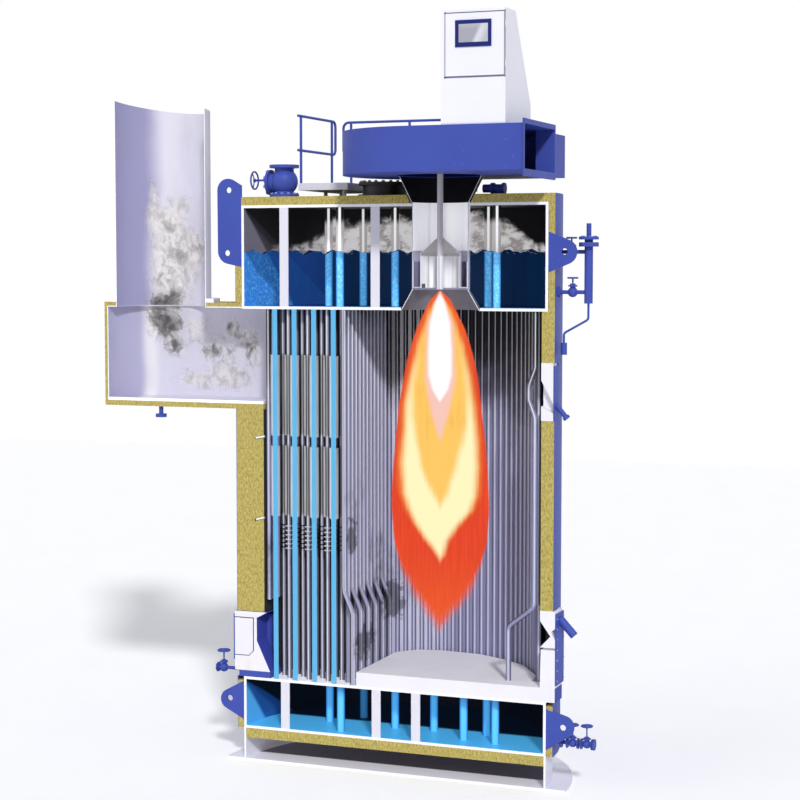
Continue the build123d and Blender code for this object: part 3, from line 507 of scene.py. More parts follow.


# Flue sheet: lavender in painted shade on the left, paler towards the right, with one upright band of painted
# highlight
def flueSteel(name, settings):
    finish = Finish(name)
    own = settings[name]
    reach = finish.slanted()
    broad = finish.noise(0.9, 3.0) * 0.3 - 0.15
    colour = finish.mix(finish.between(reach + broad, *own["change"]), own["left"], own["right"])
    low, high = own["highlightBand"]
    edge = settings["highlightEdge"]
    highlightBand = finish.between(reach + broad * 0.4, low, low + edge)
    highlightBand = highlightBand * (1.0 - finish.between(reach + broad * 0.4, high - edge, high))
    colour = finish.mix(highlightBand * own["strength"], colour, settings["highlightTone"])
    stains = finish.between(finish.noise(2.2, 5.0, 0.6, (1, 1, 0.35)), 0.5, 0.75)
    colour = finish.mix(stains * 0.15, colour, settings["stain"])
    colour = finish.mix(finish.cutFace(), colour, settings["cut"])
    normal = finish.bump(finish.noise(40.0, 3.0), 0.06, 0.002)
    return finish.done(colour, 0.5, 0.0, normal, glow=finish.lift(own["glow"], colour), specular=0.2)


staySettings = {
    "cutDepth": 0.09,  # the cut stays lie in front of it
    "litFrom": (0.36, -0.93, 0),
    "flank": "2666ae",
    "clear": "52aeea",
    "sparkleLight": "a8dcf8",
    "lowerTopShade": "1c4478",
    "lowerRearShade": "173f66",
    "shade": "141418",
    "steam": "c0bab8",
    "steamTop": 8.24,
    "steamLeft": -1.3,
    "glint": "ffffff",
    "face": "dcdae6",
    "side": "fafafd",
    "glow": 0.55,
}


# Stays: blue under water, in painted shade on their flanks and with painted light where they face the front,
# with painted sparkles in the upper drum; the lower drum's are in painted shade near the top and at the rear;
# above the water they are dark with painted shade, pale in the steam, with a painted glint; white where cut
def stayFinish(name, settings, full):
    finish = Finish(name)
    front = finish.y < settings["cutDepth"]
    facing = finish.facing(settings["litFrom"])
    sparkle = finish.between(finish.noise(26.0, 4.0, 0.65), 0.42, 0.7)
    clear = finish.mix(sparkle * (0.0 if full else 0.6), settings["clear"], settings["sparkleLight"])
    wet = finish.mix(finish.between(facing, 0.35, 0.95), settings["flank"], clear)
    if full:
        wet = finish.mix(finish.between(finish.z, 1.0, 1.2) * 0.45, wet, settings["lowerTopShade"])
        body = finish.mix(finish.between(finish.y, 0.75, 0.9) * 0.7, wet, settings["lowerRearShade"])
    else:
        inSteam = finish.between(settings["steamTop"] - finish.z, 0.0, 0.12)
        inSteam = inSteam * (finish.slanted() > settings["steamLeft"]) * 0.9
        dry = finish.mix(inSteam, settings["shade"], settings["steam"])
        dry = finish.mix(finish.between(facing, 0.93, 0.98), dry, settings["glint"])
        body = finish.mix(underWater(finish), dry, wet)
    sideways = finish.between(abs(finish.facing((1, 0, 0))), 0.2, 0.5)
    face = finish.mix(sideways, settings["face"], settings["side"])
    glow = finish.lift((1.0 - front) * settings["glow"], body)
    return finish.done(finish.mix(front, body, face), 0.35, glow=glow, specular=0.2)


woolSettings = {
    "light": "d8c97e", "middle": "b5a558", "dark": "7e7032", "patches": "b09c4c", "soot": "24242a",
    "grain": 42.0, "stretch": (1.0, 1.0, 0.45), "rough": 0.02
}


# Mineral wool; the gas side's is near-black behind the cut
def woolFinish(name, settings, sooted):
    finish = Finish(name)
    fibres = finish.noise(settings["grain"], 4.0, 0.75, settings["stretch"], 0.4)
    specks = finish.noise(settings["grain"] * 2.6, 2.0, 0.7)
    value = fibres * 0.7 + specks * 0.3
    dark, middle, light = settings["dark"], settings["middle"], settings["light"]
    colour = finish.ramp(value, (0.36, dark), (0.49, middle), (0.62, light))
    colour = finish.mix(finish.noise(1.7, 2.0) * 0.25, colour, settings["patches"])
    if sooted:
        colour = finish.mix(finish.cutFace(), settings["soot"], colour)
    return finish.done(colour, 0.95, 0.0, finish.bump(value, 0.9, settings["rough"]))


liningSettings = {
    "pale": "e6e4ea", "shade": "d6d4da", "stain": "d8cfc4", "pores": "a6a4aa", "behind": "2c3a9c",
    "outside": "3b499c", "outsideFrom": 2.42, "glow": 0.12
}


# Cast refractory; the door's is blue behind the cut, and the floor's outside the casing
def liningFinish(name, settings, blueBehind=False, blueOutside=False):
    finish = Finish(name)
    broad = finish.noise(1.3, 4.0)
    pores = finish.between(finish.noise(70.0, 3.0, 0.6), 0.62, 0.75)
    stain = finish.between(finish.noise(2.4, 5.0, 0.6, (1, 1, 0.5)), 0.56, 0.78)
    colour = finish.mix(broad, settings["pale"], settings["shade"])
    colour = finish.mix(stain * 0.5, colour, settings["stain"])
    colour = finish.mix(pores * 0.35, colour, settings["pores"])
    if blueBehind:
        colour = finish.mix(finish.cutFace(), settings["behind"], colour)
    if blueOutside:
        outward = finish.between(finish.facing((1, 0.1, 0)), 0.3, 0.5)
        colour = finish.mix(outward * (finish.x > settings["outsideFrom"]), colour, settings["outside"])
    normal = finish.bump(finish.noise(28.0, 5.0, 0.6) - pores * 0.5, 0.35, 0.01)
    return finish.done(colour, 0.9, 0.0, normal, glow=finish.lift(settings["glow"], colour))


tubeSettings = {
    "wallTubes": {
        "litFrom": (0.2, -0.98, 0), "tone": "9898bc", "glint": "cfcfe6", "soot": (5.0, 6.4),
        "shadow": (0.35, 0.88), "cut": "f0f0f6"
    },
    "partitionTubes": {
        "litFrom": (0.8, -0.6, 0), "tone": "9696b2", "glint": "dcdcec", "soot": (6.3, 7.3),
        "shadow": (0.0, 0.6), "cut": "a8a8bc"
    },
    "bankTubes": {
        "litFrom": (0.05, -1, 0), "tone": "7a7a8e", "glint": "ececf6", "soot": (6.6, 7.6),
        "shadow": (0.3, 0.85), "cut": "f0f0f6", "depthShade": (0.25, 0.6), "pinned": [(3.785, 4.83), (4.995, 6.2)]
    },
    "worn": "7c7c98",
    "highGlint": "fafafd",
    "highFrom": (4.2, 6.4),
    "meetingShade": "1e1e28",
    "amongPins": "101014",
    "bowTube": (1.6, 0.085),  # it starts at this x and ends at this depth
    "dirtAndShade": "15151a",
    "patches": {"rises": (1.9, 2.7), "ends": (3.6, 4.8), "right": (0.1, 0.9), "strength": 0.75},
    "smudges": [(-0.62, 3.5, 0.10, 0.40), (0.05, 2.3, 0.26, 0.42), (-0.42, 1.85, 0.22, 0.32)],
    "smudgeStrength": 0.7,
    "grain": 0.002,
}


# Tubes: a painted highlight along the side that faces the furnace, painted shade where they meet, among the
# pins and deeper in the bank, darker near the top as soot and painted shadow, with soot patches and smudges
# low at the left
def tubeFinish(name, settings):
    finish = Finish(name)
    own = settings[name]
    facing = finish.facing(own["litFrom"])
    along = finish.slanted()
    shine = finish.between(facing, 0.955, 0.998)
    drawn = finish.noise(16.0, 4.0, 0.6, (1, 1, 0.06))
    colour = finish.mix(drawn * 0.5, own["tone"], settings["worn"])
    glint = finish.mix(finish.between(finish.z, *settings["highFrom"]), own["glint"], settings["highGlint"])
    colour = finish.mix(shine * 0.9, colour, glint)
    # Painted shade on the flanks where the tubes meet, less on the bow tube
    bowFrom, bowDepth = settings["bowTube"]
    flank = 1.0 - finish.between(facing, *own["shadow"])
    flank = flank * (1.0 - (finish.x > bowFrom) * (finish.y < bowDepth) * 0.75)
    colour = finish.mix(flank * 0.92, colour, settings["meetingShade"])
    # Painted shade on the tubes among the pins
    for low, high in own.get("pinned", []):
        among = finish.between(finish.z, low - 0.02, low + 0.02)
        among = among * finish.between(high - finish.z, -0.02, 0.02)
        colour = finish.mix(among * (0.92 - shine * 0.5), colour, settings["amongPins"])
    # Darker near the top: soot, with painted shadow under the drum
    uneven = (finish.noise(1.2, 5.0, 0.6) - 0.5) * 1.6
    soot = finish.between(finish.z + uneven, *own["soot"])
    spread = settings["patches"]
    patches = finish.between(finish.noise(1.6, 6.0, 0.62, (1, 1, 0.5)), 0.5, 0.7)
    patches = patches * finish.between(finish.z, *spread["rises"])
    patches = patches * (1.0 - finish.between(finish.z, *spread["ends"]))
    patches = patches * (1.0 - finish.between(along, *spread["right"]))
    dirtAndShade = finish.larger(soot * (0.97 - shine * 0.6), patches * spread["strength"])
    # Painted shade in the bank's deeper rows
    if "depthShade" in own:
        dirtAndShade = finish.larger(dirtAndShade, finish.between(finish.y, *own["depthShade"]) * 0.9)
    ragged = finish.noise(7.0, 6.0, 0.72) * 3.4 - 0.9
    for centreX, centreZ, wide, tall in settings["smudges"]:
        across = (along - centreX) / wide
        up = (finish.z - centreZ) / tall
        near = finish.between(ragged - (across * across + up * up), 0.0, 0.6)
        dirtAndShade = finish.larger(dirtAndShade, near * settings["smudgeStrength"])
    colour = finish.mix(dirtAndShade, colour, settings["dirtAndShade"])
    colour = finish.mix(finish.cutFace(), colour, own["cut"])
    return finish.done(colour, drawn * 0.2 + 0.38, 0.15, finish.bump(drawn, 0.15, settings["grain"]))


burnerSettings = {
    "axis": 0.775,
    "throatSheet": {
        "footTop": 7.75, "foot": "8a88a4", "streaks": ("8e8c98", "f4f3f8", "ffffff"), "glow": 0.32
    },
    "registerSheet": {
        "footTop": 8.0, "foot": "8684a0", "streaks": ("66647a", "8684a0", "9c9ab2"), "glow": 0.0
    },
    "flameTubeSheet": {
        "streaks": ("98969c", "dcdbe0", "f4f4f6"), "cone": "b6b2b4", "coneFrom": (7.66, 7.68),
        "notches": [(-0.285, 0.012), (0.262, 0.010)], "notchTop": 7.27, "notch": "1a1a1e", "glow": 0.06
    },
    "cut": "c4c4d0",
    "grain": 0.002,
}


# Burner sheet: upright rolling streaks, with a darker foot, or the flame tube's cone and notches
def burnerSheet(name, settings):
    finish = Finish(name)
    own = settings[name]
    rolled = finish.noise(9.0, 4.0, 0.7, (1, 1, 0.02))
    dark, middle, light = own["streaks"]
    colour = finish.ramp(rolled, (0.33, dark), (0.44, middle), (0.62, light))
    if "cone" in own:
        colour = finish.mix(finish.between(finish.z, *own["coneFrom"]), colour, own["cone"])
        across = finish.x - settings["axis"]
        first, second = (abs(across - place) < half for place, half in own["notches"])
        notch = finish.larger(first, second) * (finish.z < own["notchTop"])
        colour = finish.mix(notch * 0.9, colour, own["notch"])
    else:
        foot = 1.0 - finish.between(finish.z, own["footTop"] - 0.01, own["footTop"] + 0.01)
        colour = finish.mix(foot * 0.85, colour, own["foot"])
    colour = finish.mix(finish.cutFace(), colour, settings["cut"])
    glow = finish.lift((1.0 - finish.cutFace()) * own["glow"], colour)
    return finish.done(colour, 0.4, 0.0, finish.bump(rolled, 0.1, settings["grain"]), glow=glow, specular=0.3)


sootedSettings = {
    "flareSteel": {"dark": "706c74", "light": "8a8690", "cut": "f2f2f6"},
    "funnelSteel": {"dark": "08080a", "light": "121216", "cut": "d8d8e0"},
}


def sootedSteel(name, settings):
    finish = Finish(name)
    own = settings[name]
    rough = finish.noise(20.0, 5.0, 0.65)
    colour = finish.mix(finish.cutFace(), finish.mix(rough, own["dark"], own["light"]), own["cut"])
    return finish.done(colour, 0.55, 0.1, finish.bump(rough, 0.2, 0.003))


sectionSettings = {"behind": "8c8ca4", "face": "5cbcec", "worn": "86cdf2"}


def sectionTubes(settings):
    finish = Finish("sectionTubes")
    face = finish.mix(finish.noise(12.0, 3.0) * 0.25, settings["face"], settings["worn"])
    return finish.done(finish.mix(finish.cutFace(), settings["behind"], face), 0.35)


cabinetSettings = {
    "white": "f0f0fa", "shade": "e6e6f3", "seam": "5c5c70", "doorWidth": 0.852, "seamWidth": 0.011,
    "margin": 0.02, "frontY": -1.3, "foot": 9.45, "grain": 0.001
}


# Cabinet enamel with the seam round its door and a line at its foot
def cabinetWhite(settings):
    finish = Finish("cabinetWhite")
    fine = finish.noise(80.0, 2.0)
    colour = finish.mix(finish.noise(1.4, 2.0), settings["white"], settings["shade"])
    low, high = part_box("cabinet_door")
    left, right, bottom, top = low.x, low.x + settings["doorWidth"], low.z, high.z
    width, margin = settings["seamWidth"], settings["margin"]
    beside = finish.smaller(abs(finish.x - left), abs(finish.x - right))
    nearest = finish.smaller(beside, finish.smaller(abs(finish.z - bottom), abs(finish.z - top)))
    onDoor = (finish.x > left - margin) * (finish.x < right + margin)
    onDoor = onDoor * (finish.z > bottom - margin) * (finish.z < top + margin)
    seam = (1.0 - finish.between(nearest, width * 0.7, width)) * onDoor
    seam = seam * finish.between(finish.facing((0, -1, 0)), 0.8, 0.95) * (finish.y < settings["frontY"])
    foot = 1.0 - finish.between(abs(finish.z - settings["foot"]), 0.004, 0.008)
    colour = finish.mix(finish.larger(seam, foot * 0.3), colour, settings["seam"])
    return finish.done(colour, fine * 0.1 + 0.3, 0.0, finish.bump(fine, 0.06, settings["grain"]), coat=0.2)


screenSettings = {
    "border": "1e286c", "display": "a2a4ac", "glare": "d2d4da", "top": "c2c4cc",
    "across": (0.10, 0.91), "up": (0.17, 0.85)  # edges of the display, as shares of the screen
}


def screenFinish(settings):
    low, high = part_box("touch_screen")
    finish = Finish("touchScreen")
    across = (finish.x - low.x) / (high.x - low.x)
    up = (finish.z - low.z) / (high.z - low.z)
    left, right = settings["across"]
    bottom, top = settings["up"]
    inside = (across > left) * (across < right) * (up > bottom) * (up < top) * (finish.y < low.y + 0.002)
    slope = across - up * 0.35
    glare = finish.between(slope, 0.35, 0.5) - finish.between(slope, 0.5, 0.75) * 0.6
    display = finish.mix(glare, settings["display"], settings["glare"])
    display = finish.mix(finish.between(up, 0.6, 0.9) * 0.5, display, settings["top"])
    return finish.done(finish.mix(inside, settings["border"], display), 0.3, specular=0.15)


dress(
    bluePaint(paintSettings),
    "casing_sheet windbox windbox_inlet_flange lifting_lugs steam_valve steam_valve_handwheel "
    "blowdown_valves blowdown_inner_handwheel blowdown_outer_handwheel drain_valve drain_valve_handwheel "
    "water_gauge upper_gauge_handle lower_gauge_handle left_door_box left_door_cover right_door_cover "
    "peephole_sight_tube flue_drain vent_valve platform_railings"
)
dress(palePlate(plateSettings), "stack_flange platform_deck")
dress(baseSteel(baseSettings), "base_plate base_skirt")
dress(flueSteel("stackSteel", flueSettings), "stack")
dress(flueSteel("boxSteel", flueSettings), "flue_box")
dress(lowerDrumSteel(lowerDrumSettings), "lower_drum_bottom_plate lower_drum_shell lower_tube_plate")
dress(upperDrumSteel(upperDrumSettings), "upper_tube_plate upper_drum_shell upper_drum_top_plate")
dress(stayFinish("lowerStays", staySettings, True), "lower_drum_stays")
dress(stayFinish("upperStays", staySettings, False), "upper_drum_stays")
wrapped = "lower_drum_insulation upper_drum_insulation flue_box_insulation"
dress(woolFinish("mineralWool", woolSettings, False), wrapped)
dress(woolFinish("gasSideWool", woolSettings, True), "gas_side_insulation")
dress(liningFinish("refractory", liningSettings), "right_door_refractory peephole_block")
dress(liningFinish("doorLining", liningSettings, blueBehind=True), "left_door_refractory")
dress(liningFinish("floorLining", liningSettings, blueOutside=True), "furnace_floor")
dress(tubeFinish("wallTubes", tubeSettings), "furnace_wall_tubes casing_side_tubes")
dress(tubeFinish("partitionTubes", tubeSettings), "furnace_partition")
dress(tubeFinish("bankTubes", tubeSettings), "convection_tubes")
dress(sectionTubes(sectionSettings), "section_tubes")
dress(burnerSheet("throatSheet", burnerSettings), "burner_throat")
dress(burnerSheet("flameTubeSheet", burnerSettings), "flame_tube burner_lance")
dress(burnerSheet("registerSheet", burnerSettings), "air_register")
dress(sootedSteel("flareSteel", sootedSettings), "burner_flare")
dress(sootedSteel("funnelSteel", sootedSettings), "burner_funnel manhole")
dress(cabinetWhite(cabinetSettings), "control_cabinet cabinet_door")
dress(screenFinish(screenSettings), "touch_screen")
print("finishes made")


# Flame: half a body of revolution with its layers painted on the flat side

# Each layer's rows are a level, the width to the left and the width to the right
flameSettings = {
    "centre": 0.775,
    "flatSide": 0.012,
    "turns": 28,
    "steps": 4,
    "margin": 0.06,
    "leastDepth": 0.02,
    "depth": 0.5,
    "outer": [
        (7.17, 0.03, 0.03), (7.04, 0.17, 0.175), (6.82, 0.285, 0.29), (6.61, 0.385, 0.40),
        (6.39, 0.46, 0.475), (6.17, 0.53, 0.54), (5.95, 0.575, 0.59), (5.52, 0.655, 0.645),
        (5.08, 0.70, 0.70), (4.65, 0.745, 0.74), (4.21, 0.775, 0.765), (3.99, 0.775, 0.77),
        (3.55, 0.735, 0.74), (3.11, 0.665, 0.65), (2.89, 0.59, 0.58), (2.67, 0.48, 0.46),
        (2.45, 0.32, 0.29), (2.25, 0.15, 0.12), (2.10, 0.0, 0.0)
    ],
    "hot": [
        (7.17, 0.02, 0.02), (7.04, 0.13, 0.12), (6.82, 0.24, 0.22), (6.39, 0.37, 0.37), (5.95, 0.48, 0.47),
        (5.52, 0.56, 0.53), (5.08, 0.585, 0.575), (4.65, 0.615, 0.60), (4.21, 0.59, 0.57), (3.99, 0.52, 0.49),
        (3.77, 0.42, 0.32), (3.55, 0.27, 0.19), (3.33, 0.12, 0.13), (3.12, 0.0, 0.0)
    ],
    "inner": [
        (7.17, 0.0, 0.0), (6.9, 0.20, 0.20), (6.39, 0.36, 0.36), (5.74, 0.46, 0.46), (5.36, 0.47, 0.44),
        (4.98, 0.41, 0.38), (4.6, 0.34, 0.30), (4.22, 0.18, 0.18), (4.02, 0.08, 0.08), (3.85, 0.0, 0.0)
    ],
    "blush": [
        (7.17, 0.05, 0.05), (6.7, 0.25, 0.25), (5.9, 0.28, 0.285), (5.4, 0.19, 0.18), (4.95, 0.05, 0.05),
        (4.8, 0.0, 0.0)
    ],
    "core": [
        (7.17, 0.03, 0.03), (7.0, 0.11, 0.10), (6.7, 0.175, 0.165), (6.3, 0.195, 0.185), (5.95, 0.19, 0.185),
        (5.74, 0.14, 0.14), (5.6, 0.07, 0.06), (5.5, 0.0, 0.0)
    ],
    "darkRed": "e03a0c",
    "red": "ec420e",
    "tip": "f4661c",
    "root": "f46a20",
    "orange": "f9a53a",
    "pale": "fff6c0",
    "yellow": "fcc557",
    "curls": "f7a93c",
    "pink": "f8c6c6",
    "white": "ffffff",
}


def layerWidths(finish, rows):
    low, high = rows[-1][0], rows[0][0]
    level = (finish.z - low) / (high - low)
    stops = [((z - low) / (high - low), (left, right, 0.0)) for z, left, right in reversed(rows)]
    ramp = finish.add("ShaderNodeValToRGB", {"stops": stops}, level)
    split = finish.add("ShaderNodeSeparateColor", None, ramp)
    return Value(finish, split.outputs[0]), Value(finish, split.outputs[1])


def flameFinish(settings):
    finish = Finish("flame")
    streaks = finish.noise(22.0, 3.0, 0.6, (1, 1, 0.07)) - 0.5
    curls = finish.noise(2.2, 4.0, 0.55, (1, 1, 0.45)) - 0.5
    across = finish.x - settings["centre"]
    rightSide = across > 0.0
    reach = abs(across)

    def sideWidth(rows):
        left, right = layerWidths(finish, rows)
        return left + (right - left) * rightSide

    def layer(name, soft, streakSize, curlSize, outward=0.0):
        width = sideWidth(settings[name]) * (1.08 + outward) - 0.02
        return finish.between(width - reach + streaks * streakSize + curls * curlSize, 0.0, soft)

    low = finish.between(finish.z * -1.0, -3.6, -2.3)
    high = finish.between(finish.z, 5.7, 6.9)
    inside = layer("inner", 0.15, 0.06, 0.12, 0.06)
    colour = finish.mix(finish.between(streaks, -0.1, 0.2), settings["darkRed"], settings["red"])
    colour = finish.mix(low * 0.45, colour, settings["tip"])
    colour = finish.mix(high * 0.5, colour, settings["root"])
    colour = finish.mix(layer("hot", 0.19, 0.06, 0.08, 0.14) * 0.9, colour, settings["orange"])
    colour = finish.mix(layer("hot", 0.16, 0.05, 0.08, 0.03) * (1.0 - high * 0.75), colour, settings["pale"])
    colour = finish.mix(inside * 0.95, colour, settings["yellow"])
    curled = inside * finish.between(streaks * 0.6 + curls, 0.0, 0.3)
    colour = finish.mix(curled * 0.6, colour, settings["curls"])
    colour = finish.mix(layer("blush", 0.10, 0.04, 0.02) * 0.85, colour, settings["pink"])
    colour = finish.mix(layer("core", 0.07, 0.01, 0.0, 0.16), colour, settings["white"])
    feather = sideWidth(settings["outer"]) - reach + streaks * (low * 0.26 + 0.02)
    alpha = finish.between(feather / (low * 0.20 + 0.02), 0.0, 1.6)
    flat = finish.y < settings["flatSide"] + 0.004
    behind = finish.between(feather / 0.2, 0.3, 1.6) * 0.8
    return finish.done("000000", 1.0, 0.0, alpha=alpha * flat + behind * (1.0 - flat), glow=colour)


def flameMesh(settings):
    rows = settings["outer"]
    levels = []
    for (z0, a0, b0), (z1, a1, b1) in zip(rows, rows[1:]):
        for i in range(settings["steps"]):
            t = i / settings["steps"]
            levels.append((z0 + (z1 - z0) * t, a0 + (a1 - a0) * t, b0 + (b1 - b0) * t))
    levels.append(rows[-1])
    turns = settings["turns"]
    points, faces = [], []
    for z, left, right in levels:
        for i in range(turns + 1):
            angle = math.pi * i / turns
            side = right if angle < math.pi / 2 else left
            reach = side + settings["margin"]
            depth = (side + settings["leastDepth"]) * settings["depth"]
            x = settings["centre"] + reach * math.cos(angle)
            points.append((x, settings["flatSide"] + depth * math.sin(angle), z))
    ring = turns + 1
    for row in range(len(levels) - 1):
        a = row * ring
        faces += [(a + i, a + i + ring, a + i + ring + 1, a + i + 1) for i in range(turns)]
        faces.append((a + turns, a + turns + ring, a + ring, a))
    last = (len(levels) - 1) * ring
    faces.append(tuple(range(ring)))
    faces.append(tuple(reversed(range(last, last + ring))))
    return meshOf("flame", points, faces)


def meshOf(name, points, faces):
    mesh = bpy.data.meshes.new(name)
    mesh.from_pydata(points, [], faces)
    return mesh


def finishPiece(name, mesh, material):
    mesh.materials.append(material)
    made = link(bpy.data.objects.new(name, mesh))
    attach(made, "boiler")
    return made


flame = finishPiece("flame", flameMesh(flameSettings), flameFinish(flameSettings))
flame.visible_diffuse = False
flame.visible_shadow = False
print("flame made")


# Geometry Nodes: pins and rings on the convection tubes, bolts on the flanges

class Growth(Graph):
    def __init__(self, name, counts, sizes):
        super().__init__(bpy.data.node_groups.new(name, "GeometryNodeTree"))
        kinds = {label: "NodeSocketInt" for label in counts}
        kinds |= {label: "NodeSocketFloat" for label in sizes}
        kinds["Material"] = "NodeSocketMaterial"
        face = self.tree.interface
        face.new_socket("Geometry", in_out="INPUT", socket_type="NodeSocketGeometry")
        self.sockets = {
            label: face.new_socket(label, in_out="INPUT", socket_type=kind).identifier
            for label, kind in kinds.items()
        }
        face.new_socket("Geometry", in_out="OUTPUT", socket_type="NodeSocketGeometry")
        self.entry = self.add("NodeGroupInput")

    def given(self, label):
        return Value(self, self.entry.outputs[label])

    def upward(self, z):
        return self.add("ShaderNodeCombineXYZ", None, 0.0, 0.0, z)

    def onPoints(self, points, instance, **turn):
        return self.add("GeometryNodeInstanceOnPoints", None, Points=points, Instance=instance, **turn)

    def real(self, geometry):
        return self.add("GeometryNodeRealizeInstances", None, geometry)

    # One level above the other over every given point
    def levels(self):
        line = self.add("GeometryNodeMeshLine", {"mode": "OFFSET"}, Count=self.given("Rows"),
                        Offset=self.upward(self.given("Row Pitch")))
        return self.real(self.onPoints(self.given("Geometry"), line))

    def drum(self, sides, radius, height):
        made = self.add("GeometryNodeMeshCylinder", {"fill_type": "NGON"}, Vertices=sides,
                        Radius=self.given(radius), Depth=self.given(height))
        return made.outputs["Mesh"]

    def raised(self, geometry, height):
        return self.add("GeometryNodeTransform", None, Geometry=geometry, Translation=self.upward(height))

    def depth(self):
        split = self.add("ShaderNodeSeparateXYZ", None, self.add("GeometryNodeInputPosition"))
        return Value(self, split.outputs[1])

    def without(self, geometry, chosen):
        return self.add("GeometryNodeDeleteGeometry", {"domain": "POINT"}, geometry, chosen)

    def turnedTo(self, attribute):
        vector = self.add("GeometryNodeInputNamedAttribute", {"data_type": "FLOAT_VECTOR"}, attribute)
        return self.add("FunctionNodeAlignRotationToVector", {"axis": "Z"}, Vector=vector.outputs[0])

    def end(self, geometry):
        dressed = self.add("GeometryNodeSetMaterial", None, Geometry=self.real(geometry),
                           Material=self.given("Material"))
        self.add("NodeGroupOutput", None, dressed)


# Pins that lean outwards from each tube's two sides, none in front of the cut plane
def pinTree():
    tree = Growth("tubePins", ["Rows", "Pins Round"], [
        "Row Pitch", "Tube Radius", "Pin Length", "Pin Radius", "Rise", "Cut Plane", "Side Share"
    ])
    middle = tree.given("Tube Radius") + tree.given("Pin Length") * 0.5
    circle = tree.add("GeometryNodeMeshCircle", {"fill_type": "NONE"}, tree.given("Pins Round"), middle)
    lean = tree.add("ShaderNodeVectorMath", {"operation": "ADD"}, tree.add("GeometryNodeInputPosition"),
                    tree.upward(middle * tree.given("Rise")))
    outward = tree.add("GeometryNodeStoreNamedAttribute", {"data_type": "FLOAT_VECTOR", "domain": "POINT"},
                       Geometry=circle, Name="outward", Value=lean)
    beside = tree.without(outward, abs(tree.depth()) > middle * tree.given("Side Share"))
    spots = tree.real(tree.onPoints(tree.levels(), beside))
    kept = tree.without(spots, tree.depth() < tree.given("Cut Plane"))
    pin = tree.drum(4, "Pin Radius", "Pin Length")
    tree.end(tree.onPoints(kept, pin, Rotation=tree.turnedTo("outward")))
    return tree


def ringTree():
    tree = Growth("tubeRings", ["Rows"], ["Row Pitch", "Ring Radius", "Ring Thickness"])
    tree.end(tree.onPoints(tree.levels(), tree.drum(20, "Ring Radius", "Ring Thickness")))
    return tree


# A hexagon head on a round washer, turned along each point's axis
def boltTree():
    tree = Growth("bolts", [], ["Head Radius", "Head Height", "Washer Radius", "Washer Height"])
    washerHeight = tree.given("Washer Height")
    headCentre = tree.given("Head Height") * 0.5 + washerHeight
    head = tree.raised(tree.drum(6, "Head Radius", "Head Height"), headCentre)
    washer = tree.raised(tree.drum(14, "Washer Radius", "Washer Height"), washerHeight * 0.5)
    both = tree.add("GeometryNodeJoinGeometry")
    for part in (head, washer):
        tree.feed(both.inputs[0], part)
    tree.end(tree.onPoints(tree.given("Geometry"), both, Rotation=tree.turnedTo("axis")))
    return tree


def grow(name, tree, base, values):
    carrier = link(bpy.data.objects.new(name + "Base", base))
    modifier = carrier.modifiers.new("growth", "NODES")
    modifier.node_group = tree.tree
    for label, value in values.items():
        modifier[tree.sockets[label]] = value
    graph = bpy.context.evaluated_depsgraph_get()
    mesh = bpy.data.meshes.new_from_object(carrier.evaluated_get(graph))
    carrier.modifiers.remove(modifier)
    bpy.data.objects.remove(carrier)
    made = link(bpy.data.objects.new(name, mesh))
    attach(made, "boiler")
    print(name, len(mesh.polygons), "faces")


bankSettings = {
    "firstColumn": -1.858,
    "columnPitch": 0.3175,
    "columns": 4,
    "rowPitch": 0.158,
    "rows": 8,
    "wallCentre": 0.105,
    "reach": 2.010,
    "pinned": [("upperPins", 4.995, 39), ("lowerPins", 3.785, 34)],  # name, foot and count of levels
    "frontPins": 0.0085,  # least depth of the pins' centres
    "pins": {
        "Row Pitch": 0.0312, "Pins Round": 6, "Tube Radius": 0.038, "Pin Length": 0.038, "Pin Radius": 0.0078,
        "Rise": 0.5, "Cut Plane": 0.004, "Side Share": 0.5
    },
    "ringFoot": 3.27,
    "rings": {"Rows": 6, "Row Pitch": 0.068, "Ring Radius": 0.062, "Ring Thickness": 0.012},
    "lit": "ffffff",
    "under": "6c6c74",
    "deep": "0c0c10",
    "deepFrom": (0.21, 0.25),
    "soot": "16161c",
    "glow": 0.2,
}


def bankSpots(settings, firstRow):
    spots = []
    for row in range(firstRow, settings["rows"]):
        odd = row % 2
        for column in range(settings["columns"] - odd):
            x = settings["firstColumn"] + settings["columnPitch"] * (column + odd / 2)
            y = settings["rowPitch"] * row
            if math.hypot(x - settings["wallCentre"], y) < settings["reach"]:
                spots.append((x, y))
    return spots


# Pins and rings: painted light on top and painted shade underneath in the front rows, black with painted
# shade behind them, with soot patches
def pinFinish(settings):
    finish = Finish("pinSteel")
    upper = finish.between(finish.facing((0, -0.25, 1)), 0.1, 0.5)
    near = 1.0 - finish.between(finish.y, *settings["deepFrom"])
    colour = finish.mix(near, settings["deep"], finish.mix(upper, settings["under"], settings["lit"]))
    glow = finish.lift(near * settings["glow"], colour)
    soot = finish.between(finish.noise(2.2, 5.0, 0.6, (1, 1, 0.6)), 0.5, 0.72)
    return finish.done(finish.mix(soot * 0.3, colour, settings["soot"]), 0.4, glow=glow, specular=0.2)


def makeBank(settings):
    pins = pinTree()
    steel = {"Material": pinFinish(settings)}
    for name, foot, levels in settings["pinned"]:
        spots = [(x, max(y, settings["frontPins"]), foot) for x, y in bankSpots(settings, 0)]
        values = settings["pins"] | steel | {"Rows": levels}
        grow(name, pins, meshOf(name + "Feet", spots, []), values)
    spots = [(x, y, settings["ringFoot"]) for x, y in bankSpots(settings, 1)]
    grow("tubeRings", ringTree(), meshOf("ringFeet", spots, []), settings["rings"] | steel)


makeBank(bankSettings)
print("tube bank dressed")


# Bolts round the flanges and down the door covers

